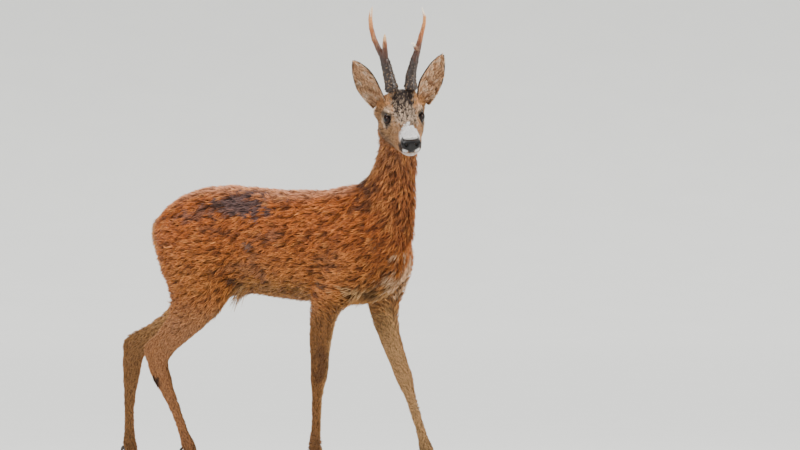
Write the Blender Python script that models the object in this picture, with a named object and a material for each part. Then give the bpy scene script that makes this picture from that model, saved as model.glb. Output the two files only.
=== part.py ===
"""A life-size roebuck standing in mid-stride with its head turned to the right.

Metres, +Z up, +X towards the chest along the trunk, +Y to the animal's left.
The origin is on the floor, under the middle of the whole animal's bounding box.

The flesh is modelled as overlapping forms, one for each mass that an anatomist would name. They are
fused into one body, smoothed where they meet, and parted by thin cuts into head, neck, trunk and legs.
Ears, eyes, nose, tail, antlers and hooves are made on their own and seated in the flesh.
"""

import math

import bmesh
import bpy
import numpy as np
from mathutils import Euler, Matrix, Vector

# --- Driving dimensions ---------------------------------------------------------------------------
GAP = 0.0003                    # clearance between neighbouring pieces
CUT = 0.0005                    # thickness of the cuts that part the flesh
VOXEL = 0.0035                  # grain of the fused flesh
FLESH_TRIANGLES = 4500          # facets of all the flesh together
SIDES = {"right": -1, "left": 1}

BROW = Vector((0.386, -0.075, 0.8565))      # midpoint between the eyeballs
HEAD_YAW, HEAD_PITCH, HEAD_ROLL = -53.3, 20.0, 4.5     # degrees: to the right, nose down, left side up
EYE_RADIUS = 0.0135
EYE_PLACE = (0.0000, 0.0360, 0.0006)        # forward, outward and up from the brow point
CORONET_HEIGHT = 0.024                      # where skin ends and hoof begins

COLOURS = {                                 # base colour and roughness of each finish
    "coat": ((0.42, 0.17, 0.06), 0.85),
    "face": ((0.30, 0.19, 0.12), 0.85),
    "leg": ((0.33, 0.18, 0.10), 0.85),
    "ear": ((0.36, 0.24, 0.17), 0.85),
    "antler": ((0.16, 0.085, 0.045), 0.55),
    "antler_tip": ((0.52, 0.34, 0.20), 0.35),
    "hoof": ((0.035, 0.03, 0.028), 0.45),
    "nose": ((0.02, 0.02, 0.022), 0.35),
    "eye": ((0.012, 0.008, 0.006), 0.08),
}

# --- The trunk: upright sections along X: x, back, belly, half width, height of the widest point ---
TRUNK = (
    (-0.338, 0.606, 0.545, 0.030, 0.580),   # point of the buttock
    (-0.322, 0.630, 0.512, 0.050, 0.580),
    (-0.290, 0.659, 0.482, 0.072, 0.575),
    (-0.240, 0.685, 0.460, 0.087, 0.570),   # hips
    (-0.180, 0.699, 0.449, 0.090, 0.565),
    (-0.120, 0.7005, 0.441, 0.086, 0.560),  # loin
    (-0.050, 0.6935, 0.436, 0.093, 0.550),
    (0.020, 0.6885, 0.427, 0.100, 0.545),   # last ribs
    (0.080, 0.6870, 0.420, 0.098, 0.540),
    (0.140, 0.6890, 0.415, 0.090, 0.535),
    (0.190, 0.6990, 0.411, 0.081, 0.530),   # girth
    (0.235, 0.7030, 0.412, 0.073, 0.530),   # withers
    (0.280, 0.6800, 0.424, 0.067, 0.530),
    (0.318, 0.6350, 0.448, 0.054, 0.535),
    (0.342, 0.5850, 0.490, 0.030, 0.540),   # breastbone
)

# --- Tubular forms: x, y, z, half width across, half depth fore and aft ---------------------------
NECK = (
    (0.238, 0.000, 0.545, 0.066, 0.112),
    (0.281, 0.000, 0.610, 0.061, 0.095),
    (0.304, -0.001, 0.668, 0.0520, 0.0730),
    (0.319, -0.003, 0.722, 0.0455, 0.0600),
    (0.3300, -0.007, 0.770, 0.0420, 0.0520),
    (0.3370, -0.012, 0.812, 0.0420, 0.0500),
    (0.3400, -0.020, 0.850, 0.0410, 0.0480),
    (0.3440, -0.026, 0.875, 0.0330, 0.0400),
)
LEGS = {
    "foreleg_right": (
        ("shoulder", (0.190, -0.034, 0.668, 0.026, 0.046), (0.225, -0.056, 0.590, 0.033, 0.060),
         (0.250, -0.066, 0.518, 0.036, 0.062), (0.212, -0.070, 0.458, 0.034, 0.056),
         (0.176, -0.070, 0.415, 0.029, 0.040), (0.164, -0.068, 0.385, 0.024, 0.034)),
        ("forearm", (0.170, -0.070, 0.425, 0.028, 0.044), (0.1620, -0.068, 0.390, 0.0265, 0.0405),
         (0.1550, -0.066, 0.355, 0.0240, 0.0355), (0.1500, -0.064, 0.320, 0.0215, 0.0300),
         (0.1475, -0.062, 0.285, 0.0195, 0.0245), (0.1465, -0.061, 0.262, 0.0190, 0.0230),
         (0.1440, -0.060, 0.240, 0.0190, 0.0212), (0.1410, -0.059, 0.218, 0.0165, 0.0172)),
        ("cannon", (0.1410, -0.059, 0.225, 0.0165, 0.0175), (0.1385, -0.058, 0.198, 0.0132, 0.0142),
         (0.1365, -0.057, 0.165, 0.0116, 0.0128), (0.1345, -0.056, 0.120, 0.0112, 0.0122),
         (0.1320, -0.056, 0.090, 0.0126, 0.0138), (0.1310, -0.056, 0.070, 0.0155, 0.0170),
         (0.1400, -0.055, 0.050, 0.0132, 0.0145), (0.1510, -0.055, 0.034, 0.0138, 0.0160),
         (0.1560, -0.055, 0.018, 0.0155, 0.0185)),
    ),
    "foreleg_left": (
        ("shoulder", (0.212, 0.034, 0.668, 0.026, 0.044), (0.252, 0.054, 0.592, 0.033, 0.058),
         (0.280, 0.062, 0.532, 0.035, 0.059), (0.263, 0.068, 0.462, 0.033, 0.053),
         (0.250, 0.069, 0.410, 0.029, 0.044), (0.253, 0.067, 0.380, 0.024, 0.037)),
        ("forearm", (0.250, 0.069, 0.425, 0.028, 0.046), (0.2535, 0.067, 0.390, 0.0265, 0.0385),
         (0.2620, 0.066, 0.355, 0.0240, 0.0330), (0.2750, 0.064, 0.320, 0.0215, 0.0280),
         (0.2900, 0.063, 0.285, 0.0195, 0.0240), (0.2990, 0.062, 0.262, 0.0188, 0.0222),
         (0.3110, 0.061, 0.236, 0.0188, 0.0210), (0.3200, 0.060, 0.212, 0.0163, 0.0170)),
        ("cannon", (0.3175, 0.060, 0.219, 0.0163, 0.0172), (0.3290, 0.059, 0.190, 0.0130, 0.0140),
         (0.3420, 0.058, 0.155, 0.0116, 0.0128), (0.3545, 0.057, 0.120, 0.0112, 0.0122),
         (0.3650, 0.057, 0.090, 0.0126, 0.0138), (0.3720, 0.056, 0.070, 0.0155, 0.0170),
         (0.3840, 0.056, 0.050, 0.0132, 0.0145), (0.3960, 0.056, 0.034, 0.0138, 0.0160),
         (0.4010, 0.056, 0.018, 0.0155, 0.0185)),
    ),
    "hindleg_right": (
        ("thigh", (-0.228, -0.044, 0.635, 0.036, 0.072), (-0.216, -0.058, 0.570, 0.043, 0.096),
         (-0.188, -0.064, 0.500, 0.044, 0.104), (-0.168, -0.070, 0.445, 0.040, 0.096),
         (-0.163, -0.074, 0.415, 0.034, 0.056), (-0.178, -0.075, 0.385, 0.028, 0.030)),
        ("gaskin", (-0.158, -0.074, 0.416, 0.031, 0.042), (-0.195, -0.074, 0.383, 0.030, 0.040),
         (-0.231, -0.073, 0.351, 0.0265, 0.034), (-0.262, -0.072, 0.321, 0.0215, 0.0270),
         (-0.288, -0.071, 0.292, 0.0195, 0.0250), (-0.300, -0.071, 0.272, 0.0190, 0.0230)),
        ("achilles", (-0.214, -0.070, 0.440, 0.026, 0.040), (-0.236, -0.072, 0.398, 0.020, 0.028),
         (-0.266, -0.072, 0.364, 0.0140, 0.0160),
         (-0.298, -0.072, 0.335, 0.0098, 0.0112), (-0.322, -0.072, 0.314, 0.0105, 0.0130),
         (-0.324, -0.071, 0.298, 0.0120, 0.0150), (-0.308, -0.071, 0.278, 0.0140, 0.0160)),
        ("cannon", (-0.300, -0.071, 0.290, 0.0195, 0.0270), (-0.296, -0.070, 0.262, 0.0200, 0.0262),
         (-0.283, -0.070, 0.232, 0.0172, 0.0215), (-0.2705, -0.069, 0.202, 0.0142, 0.0175),
         (-0.2560, -0.068, 0.172, 0.0122, 0.0145), (-0.2405, -0.066, 0.135, 0.0114, 0.0128),
         (-0.2250, -0.065, 0.095, 0.0126, 0.0140), (-0.2160, -0.064, 0.072, 0.0155, 0.0172),
         (-0.2050, -0.063, 0.051, 0.0132, 0.0145), (-0.1940, -0.063, 0.034, 0.0138, 0.0160),
         (-0.1890, -0.063, 0.018, 0.0155, 0.0185)),
    ),
    "hindleg_left": (
        ("thigh", (-0.232, 0.044, 0.635, 0.036, 0.072), (-0.236, 0.058, 0.570, 0.043, 0.090),
         (-0.236, 0.064, 0.505, 0.043, 0.092), (-0.240, 0.069, 0.455, 0.038, 0.080),
         (-0.246, 0.072, 0.424, 0.033, 0.054), (-0.260, 0.073, 0.398, 0.027, 0.032)),
        ("gaskin", (-0.236, 0.073, 0.420, 0.031, 0.036), (-0.280, 0.073, 0.398, 0.030, 0.043),
         (-0.330, 0.072, 0.370, 0.0265, 0.037), (-0.378, 0.071, 0.341, 0.0215, 0.0285),
         (-0.418, 0.070, 0.316, 0.0195, 0.0250), (-0.436, 0.069, 0.298, 0.0190, 0.0230)),
        ("achilles", (-0.285, 0.069, 0.448, 0.026, 0.038), (-0.326, 0.071, 0.408, 0.020, 0.026),
         (-0.374, 0.071, 0.374, 0.0140, 0.0160),
         (-0.420, 0.070, 0.350, 0.0098, 0.0120), (-0.455, 0.070, 0.333, 0.0105, 0.0130),
         (-0.466, 0.069, 0.316, 0.0120, 0.0150), (-0.458, 0.069, 0.292, 0.0140, 0.0165)),
        ("cannon", (-0.440, 0.069, 0.312, 0.0195, 0.0270), (-0.4500, 0.068, 0.282, 0.0200, 0.0275),
         (-0.4530, 0.068, 0.248, 0.0172, 0.0232), (-0.4560, 0.067, 0.212, 0.0142, 0.0180),
         (-0.4580, 0.066, 0.178, 0.0122, 0.0148), (-0.4585, 0.065, 0.138, 0.0114, 0.0128),
         (-0.4570, 0.064, 0.096, 0.0126, 0.0140), (-0.4560, 0.063, 0.072, 0.0155, 0.0172),
         (-0.4470, 0.063, 0.051, 0.0132, 0.0145), (-0.4360, 0.062, 0.034, 0.0138, 0.0160),
         (-0.4310, 0.062, 0.018, 0.0155, 0.0185)),
    ),
}
# Where each leg leaves the trunk: a sloping cut given by x, height at the middle line, rise towards the
# tail, rise outwards, half length, and how near to and far from the middle line it reaches.
LEG_CUTS = {
    "foreleg_right": (0.190, 0.382, 0.10, 0.55, 0.120, 0.010, 0.130),
    "foreleg_left": (0.255, 0.382, 0.10, 0.55, 0.100, 0.010, 0.130),
    "hindleg_right": (-0.190, 0.432, 0.30, 0.80, 0.190, 0.000, 0.150),
    "hindleg_left": (-0.240, 0.444, 0.36, 0.80, 0.190, 0.000, 0.150),
}
# The foot of each leg: the middle of the pair of claws on the floor, and the way they point in degrees.
FEET = {
    "fore_right": ((0.163, -0.055), -3.0),
    "fore_left": ((0.408, 0.056), 3.0),
    "hind_right": ((-0.182, -0.063), -4.0),
    "hind_left": ((-0.424, 0.062), 4.0),
}
FETLOCKS = {
    "fore_right": (0.131, -0.056, 0.070),
    "fore_left": (0.372, 0.056, 0.070),
    "hind_right": (-0.216, -0.064, 0.072),
    "hind_left": (-0.456, 0.063, 0.072),
}

# --- The head, about the brow point: x forward, crown, jaw, half width, height of the widest point --
SKULL = (
    (-0.098, 0.026, -0.034, 0.026, 0.000),
    (-0.084, 0.043, -0.054, 0.040, -0.004),
    (-0.060, 0.052, -0.071, 0.0475, -0.010),
    (-0.035, 0.054, -0.0785, 0.0500, -0.016),
    (-0.012, 0.0490, -0.0810, 0.0470, -0.022),
    (0.010, 0.0400, -0.0800, 0.0400, -0.026),
    (0.035, 0.0285, -0.0765, 0.0360, -0.029),
    (0.060, 0.0175, -0.0710, 0.0325, -0.031),
    (0.085, 0.0085, -0.0645, 0.0300, -0.032),
    (0.105, 0.0020, -0.0590, 0.0275, -0.032),
    (0.118, -0.0045, -0.0530, 0.0230, -0.031),
    (0.127, -0.0140, -0.0440, 0.0160, -0.030),
)
# Left and right forms of the head: centre and half sizes of rounded masses.
HEAD_MASSES = {
    "jaw muscle": ((-0.038, 0.031, -0.040), (0.033, 0.020, 0.036)),
    "cheekbone": ((-0.010, 0.0355, -0.0195), (0.036, 0.0130, 0.0110)),
    "brow": ((-0.008, 0.0350, 0.0185), (0.021, 0.0140, 0.0080)),
    "orbit": ((-0.024, 0.0390, 0.0020), (0.012, 0.0125, 0.0180)),
    "lip": ((0.099, 0.0160, -0.0370), (0.027, 0.0135, 0.0125)),
    "ear root": ((-0.068, 0.0400, 0.0160), (0.020, 0.0190, 0.0220)),
}
CHIN = ((0.098, 0.0, -0.0520), (0.021, 0.0165, 0.0105))
PEDICLE = ((-0.026, 0.0185, 0.036, 0.0160), (-0.035, 0.0225, 0.060, 0.0145))

# --- The antlers, from the top of the bony pedicle: forward, outward, up, radius --------------------
ANTLER_ROOT = (-0.0355, 0.0232, 0.0635)
BEAM = {
    "right": (
        (0.0000, 0.0000, -0.0060, 0.0130), (0.0000, 0.0010, 0.0040, 0.0162), (-0.0015, 0.0020, 0.0100, 0.0138),
        (-0.0068, 0.0061, 0.0331, 0.0127), (-0.0148, 0.0116, 0.0626, 0.0112), (-0.0204, 0.0175, 0.0801, 0.0088),
        (-0.0239, 0.0249, 0.0909, 0.0069), (-0.0318, 0.0346, 0.1156, 0.0063), (-0.0391, 0.0400, 0.1421, 0.0055),
        (-0.0416, 0.0410, 0.1636, 0.0049), (-0.0374, 0.0385, 0.1873, 0.0037), (-0.0340, 0.0351, 0.1979, 0.0008),
    ),
    "left": (
        (0.0000, 0.0000, -0.0060, 0.0130), (0.0000, -0.0010, 0.0040, 0.0160), (-0.0010, -0.0010, 0.0100, 0.0136),
        (-0.0047, 0.0001, 0.0234, 0.0128), (-0.0088, 0.0048, 0.0406, 0.0106), (-0.0142, 0.0112, 0.0605, 0.0096),
        (-0.0195, 0.0180, 0.0772, 0.0080), (-0.0240, 0.0231, 0.0911, 0.0071), (-0.0320, 0.0317, 0.1163, 0.0057),
        (-0.0395, 0.0411, 0.1447, 0.0044), (-0.0419, 0.0427, 0.1596, 0.0038), (-0.0379, 0.0365, 0.1859, 0.0008),
    ),
}
TINE = {
    "right": (
        (-0.0150, 0.0118, 0.0720, 0.0078), (-0.0085, 0.0122, 0.0900, 0.0067), (0.0020, 0.0134, 0.1135, 0.0055),
        (0.0085, 0.0137, 0.1300, 0.0040), (0.0120, 0.0136, 0.1427, 0.0008),
    ),
    "left": (
        (-0.0220, 0.0200, 0.0844, 0.0066), (-0.0080, 0.0164, 0.0937, 0.0063), (0.0070, 0.0115, 0.1041, 0.0056),
        (0.0190, 0.0066, 0.1145, 0.0042), (0.0260, 0.0002, 0.1219, 0.0008),
    ),
}
FORK_HEIGHT = {"right": 0.0865, "left": 0.0940}

# --- Ears, eyes, nose, tail and claws -------------------------------------------------------------
EAR_ROOT = (-0.063, 0.0455, 0.018)
EAR_AXIS = (-0.022, 0.0630, 0.1050)         # from root to tip
EAR_FACE = (0.90, 0.30, 0.15)               # where the open side looks
EAR_LENGTH, EAR_WALL = 0.124, 0.0032
# Height along the ear, half width, how far the leaf wraps round (radians), outward bow.
EAR = (
    (0.00, 0.0170, 2.30, 0.0000), (0.12, 0.0205, 1.75, 0.0020), (0.28, 0.0248, 1.28, 0.0040),
    (0.43, 0.0275, 1.10, 0.0042), (0.55, 0.0268, 1.00, 0.0030), (0.66, 0.0245, 0.94, 0.0015),
    (0.76, 0.0205, 0.88, 0.0005), (0.86, 0.0150, 0.82, 0.0000), (0.94, 0.0088, 0.76, 0.0000),
    (1.00, 0.0022, 0.70, 0.0000),
)
NOSE_CENTRE, NOSE_HALF = (0.1205, 0.0, -0.0238), (0.0128, 0.0228, 0.0188)
NOSTRIL_PLACE, NOSTRIL_HALF = (0.1335, 0.0118, -0.0205), (0.0080, 0.0048, 0.0068)
TAIL = ((-0.328, 0.0, 0.622, 0.012, 0.008), (-0.341, 0.0, 0.608, 0.013, 0.009),
        (-0.347, 0.0, 0.588, 0.010, 0.007), (-0.346, 0.0, 0.572, 0.004, 0.003))
CLAW_LENGTH, CLAW_WIDTH, CLAW_GAP = 0.043, 0.0152, 0.0010
DEWCLAW = (0.0045, 0.0042, 0.0085)          # half sizes


def finish(obj, finish_name):
    """Gives the object its material, flat triangles and smooth shading, and returns it."""
    bm = bmesh.new()
    bm.from_mesh(obj.data)
    bmesh.ops.triangulate(bm, faces=bm.faces)
    bm.to_mesh(obj.data)
    bm.free()
    colour, roughness = COLOURS[finish_name]
    material = bpy.data.materials.get(finish_name) or bpy.data.materials.new(finish_name)
    material.use_nodes = True
    shader = material.node_tree.nodes["Principled BSDF"]
    shader.inputs["Base Color"].default_value = (*colour, 1.0)
    shader.inputs["Roughness"].default_value = roughness
    obj.data.materials.clear()
    obj.data.materials.append(material)
    obj.data.shade_smooth()
    return obj


def object_from(bm, name):
    """A new object holding the bmesh, with its faces pointing outwards."""
    bm.normal_update()
    bmesh.ops.recalc_face_normals(bm, faces=bm.faces)
    mesh = bpy.data.meshes.new(name)
    bm.to_mesh(mesh)
    bm.free()
    obj = bpy.data.objects.new(name, mesh)
    bpy.context.collection.objects.link(obj)
    return obj


def through(stations, per_span):
    """Rows of numbers on a smooth Catmull-Rom curve that passes through the stations."""
    rows = np.array(stations, float)
    padded = np.vstack([2 * rows[0] - rows[1], rows, 2 * rows[-1] - rows[-2]])
    made = []
    for i in range(len(rows) - 1):
        a, b, c, d = padded[i:i + 4]
        for t in np.arange(per_span) / per_span:
            made.append(0.5 * (2 * b + (c - a) * t + (2 * a - 5 * b + 4 * c - d) * t ** 2
                               + (3 * b - a - 3 * c + d) * t ** 3))
    return [*made, rows[-1]]


def loft(name, rings):
    """Skins rings of equal size, given as lists of points, and closes both ends."""
    bm = bmesh.new()
    previous = None
    for ring in rings:
        circle = bmesh.ops.create_circle(bm, segments=len(ring), radius=1.0)["verts"]
        for vertex, place in zip(circle, ring):
            vertex.co = place
        edges = list({edge for vertex in circle for edge in vertex.link_edges})
        if previous:
            bmesh.ops.bridge_loops(bm, edges=[*previous, *edges])
        else:
            bmesh.ops.contextual_create(bm, geom=edges)
        previous = edges
    bmesh.ops.contextual_create(bm, geom=previous)
    return object_from(bm, name)


def upright_form(name, sections, segments=28, per_span=3, slab=2.3):
    """A body of upright sections along X: x, top, bottom, half width, height of the widest point."""
    rings = []
    for x, top, bottom, wide, middle in through(sections, per_span):
        ring = []
        for k in range(segments):
            angle = 2 * math.pi * k / segments
            c, s = math.cos(angle), math.sin(angle)
            across = math.copysign(abs(c) ** (2 / slab), c) * wide
            reach = top - middle if s > 0 else middle - bottom
            ring.append((x, across, middle + math.copysign(abs(s) ** (2 / slab), s) * reach))
        rings.append(ring)
    return loft(name, rings)


def tube(name, stations, segments=16, per_span=3, across=(0, 1, 0)):
    """A tube through stations of x, y, z, half width across and half depth, square to its own line."""
    rows = through(stations, per_span)
    centres = [Vector(row[:3]) for row in rows]
    rings = []
    for i, (centre, row) in enumerate(zip(centres, rows)):
        along = (centres[min(i + 1, len(rows) - 1)] - centres[max(i - 1, 0)]).normalized()
        side = (Vector(across) - along * along.dot(Vector(across))).normalized()
        front = side.cross(along)
        wide, deep = max(row[3], 1e-4), max(row[-1], 1e-4)
        turns = [2 * math.pi * k / segments for k in range(segments)]
        rings.append([centre + side * math.cos(a) * wide + front * math.sin(a) * deep for a in turns])
    return loft(name, rings)


def rounded(name, centre, half, segments=20, turn=(0, 0, 0)):
    """An ellipsoid."""
    bm = bmesh.new()
    bmesh.ops.create_uvsphere(bm, u_segments=segments, v_segments=segments // 2, radius=1.0)
    place = Matrix.LocRotScale(Vector(centre), Euler([math.radians(a) for a in turn]), Vector(half))
    bmesh.ops.transform(bm, matrix=place, verts=bm.verts)
    return object_from(bm, name)


def evaluated_mesh(obj):
    """A plain mesh of the object with its modifiers applied."""
    bpy.context.view_layer.update()
    return bpy.data.meshes.new_from_object(obj.evaluated_get(bpy.context.evaluated_depsgraph_get()))


def bake_down(obj):
    """Replaces the object's mesh by the mesh that its modifiers make of it."""
    made = evaluated_mesh(obj)
    obj.modifiers.clear()
    obj.data = made
    return obj


def joined(name, parts):
    """One object of all the parts' meshes, which stay overlapping shells."""
    bm = bmesh.new()
    for part in parts:
        bm.from_mesh(part.data)
        bpy.data.objects.remove(part)
    return object_from(bm, name)


def turned(obj, matrix):
    """Applies a matrix to the object's own mesh."""
    obj.data.transform(matrix)
    obj.data.update()
    return obj


def head_matrix():
    """From the head's own frame, about the brow point, to the animal's."""
    turn = Euler([math.radians(a) for a in (HEAD_ROLL, HEAD_PITCH, HEAD_YAW)])
    return Matrix.LocRotScale(BROW, turn, None)


def mirrored(place, side):
    """A place or size about the head's middle plane, carried to one side."""
    return (place[0], place[1] * side, place[2])


def head_forms():
    """The skull and the masses on it, in the animal's frame."""
    forms = [upright_form("skull", SKULL, segments=24, slab=2.15), rounded("chin", *CHIN)]
    for side in SIDES.values():
        for name, (centre, half) in HEAD_MASSES.items():
            forms.append(rounded(name, mirrored(centre, side), half))
        stations = [(*mirrored(row[:3], side), row[3], row[3]) for row in PEDICLE]
        forms.append(tube("pedicle", stations))
    return [turned(form, head_matrix()) for form in forms]


def slab(name, centre, normal, half_size, thickness=CUT):
    """A thin square cutter across a line of the body."""
    bm = bmesh.new()
    bmesh.ops.create_cube(bm, size=1.0)
    facing = Vector(normal).to_track_quat("Z", "Y").to_matrix().to_4x4()
    size = Matrix.Diagonal((2 * half_size[0], 2 * half_size[1], thickness, 1))
    bmesh.ops.transform(bm, matrix=Matrix.Translation(centre) @ facing @ size, verts=bm.verts)
    return cutter(object_from(bm, name))


def leg_cut(name, side, x, height, rise_back, rise_out, half_length, inner, outer):
    """A thin cutter between a leg and the trunk, sloping up backwards and outwards."""
    bm = bmesh.new()
    bmesh.ops.create_cube(bm, size=1.0)
    for vertex in bm.verts:
        along = vertex.co.x * 2 * half_length
        out = inner + (vertex.co.y + 0.5) * (outer - inner)
        vertex.co = (x + along, out * side, height - rise_back * along + rise_out * out + vertex.co.z * CUT)
    return cutter(object_from(bm, name))


def cutter(obj):
    """Marks a helper that only cuts."""
    obj.hide_render = True
    obj.display_type = "WIRE"
    return obj


def seat_for(piece, gap=GAP):
    """A cutter that makes room for the piece with a clearance all round."""
    copy = bpy.data.objects.new(piece.name + "_seat", evaluated_mesh(piece))
    bpy.context.collection.objects.link(copy)
    swell = copy.modifiers.new("clearance", "DISPLACE")
    swell.strength, swell.mid_level = gap, 0.0
    return cutter(bake_down(copy))


def cut_away(obj, cutters):
    """Subtracts each cutter from the object for good."""
    for tool in cutters:
        boolean = obj.modifiers.new(tool.name, "BOOLEAN")
        boolean.operation, boolean.solver, boolean.object = "DIFFERENCE", "EXACT", tool
    bake_down(obj)
    for tool in cutters:
        bpy.data.objects.remove(tool)
    return obj


def fuse(obj, other):
    """Unites another object's shape with the object's own."""
    boolean = obj.modifiers.new("union", "BOOLEAN")
    boolean.operation, boolean.solver, boolean.object = "UNION", "EXACT", other
    bake_down(obj)
    bpy.data.objects.remove(other)
    return obj


def part_by_place(obj, seeds):
    """Splits the object into its loose shells, and names each seed's nearest shell after the seed."""
    others = set(bpy.data.objects) - {obj}
    bpy.context.view_layer.objects.active = obj
    obj.select_set(True)
    bpy.ops.mesh.separate(type="LOOSE")
    bpy.ops.object.select_all(action="DESELECT")
    shells = [shell for shell in bpy.data.objects if shell not in others]
    shells.sort(key=lambda shell: -len(shell.data.vertices))
    for scrap in shells[len(seeds):]:
        bpy.data.objects.remove(scrap)
    places = {shell: np.array([v.co for v in shell.data.vertices]) for shell in shells[:len(seeds)]}
    pieces = {}
    for name, seed in seeds.items():
        best = min(places, key=lambda s: np.linalg.norm(places[s] - np.array(seed), axis=1).min())
        places.pop(best)
        best.name = best.data.name = name
        pieces[name] = best
    return pieces


def smooth_band(height):
    """How strongly the flesh is smoothed at a height: fully on the body, hardly on the thin shanks."""
    return float(np.clip((height - 0.30) / 0.16, 0.04, 1.0))


def fused_flesh():
    """Every flesh form fused into one smooth body of few facets."""
    forms = [upright_form("trunk form", TRUNK), tube("neck form", NECK, segments=24), *head_forms()]
    for leg in LEGS.values():
        forms += [tube(name, stations) for name, *stations in leg]
    flesh = joined("flesh", forms)
    remesh = flesh.modifiers.new("fuse", "REMESH")
    remesh.mode, remesh.voxel_size, remesh.adaptivity = "VOXEL", VOXEL, 0.0
    bake_down(flesh)

    to_head = head_matrix().inverted()
    soft = flesh.vertex_groups.new(name="soft")
    coarse = flesh.vertex_groups.new(name="coarse")
    for vertex in flesh.data.vertices:
        ahead = (to_head @ vertex.co).x
        on_head = ahead > -0.07 and vertex.co.z > 0.74
        soft.add([vertex.index], 0.16 if on_head else smooth_band(vertex.co.z), "REPLACE")
        coarse.add([vertex.index], 0.60 if on_head else (0.75 if vertex.co.z < 0.40 else 1.0), "REPLACE")
    smooth = flesh.modifiers.new("blend", "SMOOTH")
    smooth.factor, smooth.iterations, smooth.vertex_group = 0.5, 45, "soft"
    facets = flesh.modifiers.new("facets", "DECIMATE")
    facets.vertex_group, facets.vertex_group_factor = "coarse", 1.0
    facets.ratio = FLESH_TRIANGLES / (2 * len(flesh.data.polygons))
    return bake_down(flesh)


def make_ears():
    """Both ears: cupped leaves, wrapped into a funnel at the root and open towards the tip."""
    ears = []
    heights, *columns = zip(*EAR)
    for name, side in SIDES.items():
        bm = bmesh.new()
        bmesh.ops.create_grid(bm, x_segments=7, y_segments=11, size=1.0)
        for vertex in bm.verts:
            v, u = vertex.co.x, (vertex.co.y + 1) / 2
            wide, wrap, bow = (float(np.interp(u, heights, column)) for column in columns)
            radius = wide / math.sin(min(wrap, math.pi / 2))
            vertex.co = (radius * (1 - math.cos(v * wrap)) - 0.010 * math.sin(math.pi * u),
                         radius * math.sin(v * wrap) + bow * side, EAR_LENGTH * u)
        ear = object_from(bm, f"ear_{name}")
        wall = ear.modifiers.new("wall", "SOLIDIFY")
        wall.thickness, wall.offset = EAR_WALL, 0.0
        axis = Vector(mirrored(EAR_AXIS, side)).normalized()
        face = Vector(mirrored(EAR_FACE, side))
        face = (face - axis * axis.dot(face)).normalized()
        turn = Matrix((face, axis.cross(face), axis)).transposed().to_4x4()
        root = Matrix.Translation(mirrored(EAR_ROOT, side))
        bake_down(ear)
        ears.append(finish(turned(ear, head_matrix() @ root @ turn), "ear"))
    return ears


def make_eyes():
    """Both eyeballs."""
    place = [EYE_RADIUS] * 3
    eyes = [rounded(f"eye_{n}", mirrored(EYE_PLACE, s), place, segments=12) for n, s in SIDES.items()]
    return [finish(turned(eye, head_matrix()), "eye") for eye in eyes]


def make_nose():
    """The bare pad on the end of the muzzle, with comma-shaped nostrils, and the cutter that seats it."""
    bm = bmesh.new()
    bmesh.ops.create_cube(bm, size=2.0)
    bmesh.ops.subdivide_edges(bm, edges=bm.edges, cuts=3, use_grid_fill=True)
    for vertex in bm.verts:
        p = vertex.co
        ball = p.normalized() * 1.22
        p = p.lerp(ball, 0.72)
        narrow = 1 - 0.13 * (1 - p.z) * 0.5
        vertex.co = (NOSE_CENTRE[0] + p.x * NOSE_HALF[0], p.y * NOSE_HALF[1] * narrow,
                     NOSE_CENTRE[2] + p.z * NOSE_HALF[2])
    nose = finish(turned(object_from(bm, "nose"), head_matrix()), "nose")
    seat = seat_for(nose)
    tools = []
    for side in SIDES.values():
        hole = rounded("nostril", mirrored(NOSTRIL_PLACE, side), NOSTRIL_HALF, 8, (20 * side, 0, 24 * side))
        slit_place = mirrored((0.1280, 0.0188, -0.0180), side)
        tail = rounded("nostril tail", slit_place, (0.0080, 0.0046, 0.0026), 8, (-20 * side, 0, 50 * side))
        tools.append(cutter(turned(fuse(hole, tail), head_matrix())))
    cut_away(nose, tools)
    return finish(nose, "nose"), seat


def make_tail():
    """The stub of a tail, flat against the rump."""
    return finish(tube("tail", TAIL, segments=8, per_span=2), "coat")


def make_antlers():
    """Each antler as one branched bone, parted at its fork into beam, tip and front tine."""
    whole = []
    for name, side in SIDES.items():
        place = head_matrix() @ Matrix.Translation(mirrored(ANTLER_ROOT, side))
        beam = [(*mirrored(row[:3], side), row[3], row[3]) for row in BEAM[name]]
        tine = [(*mirrored(row[:3], side), row[3], row[3]) for row in TINE[name]]
        antler = tube(f"antler_{name}", beam, segments=10, per_span=1)
        fuse(antler, tube("tine", tine, segments=8, per_span=2))
        fork = FORK_HEIGHT[name]
        centres = [Vector([float(np.interp(fork, [row[2] for row in line], [row[k] for row in line]))
                           for k in range(3)]) for line in (beam, tine)]
        middle = (centres[0] + centres[1]) / 2
        level = slab("fork cut", middle, (0, 0, 1), (0.03, 0.03))
        rise = middle + Vector((0, 0, 0.0298))
        between = slab("crotch cut", rise, centres[1] - centres[0], (0.03, 0.03))
        cut_away(antler, [level, between])
        seeds = {
            f"antler_{name}_beam": beam[3][:3],
            f"antler_{name}_tip": beam[-1][:3],
            f"antler_{name}_tine": tine[-1][:3],
        }
        for label, piece in part_by_place(antler, seeds).items():
            turned(piece, place)
            whole.append(finish(piece, "antler" if label.endswith("beam") else "antler_tip"))
    return whole


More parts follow.
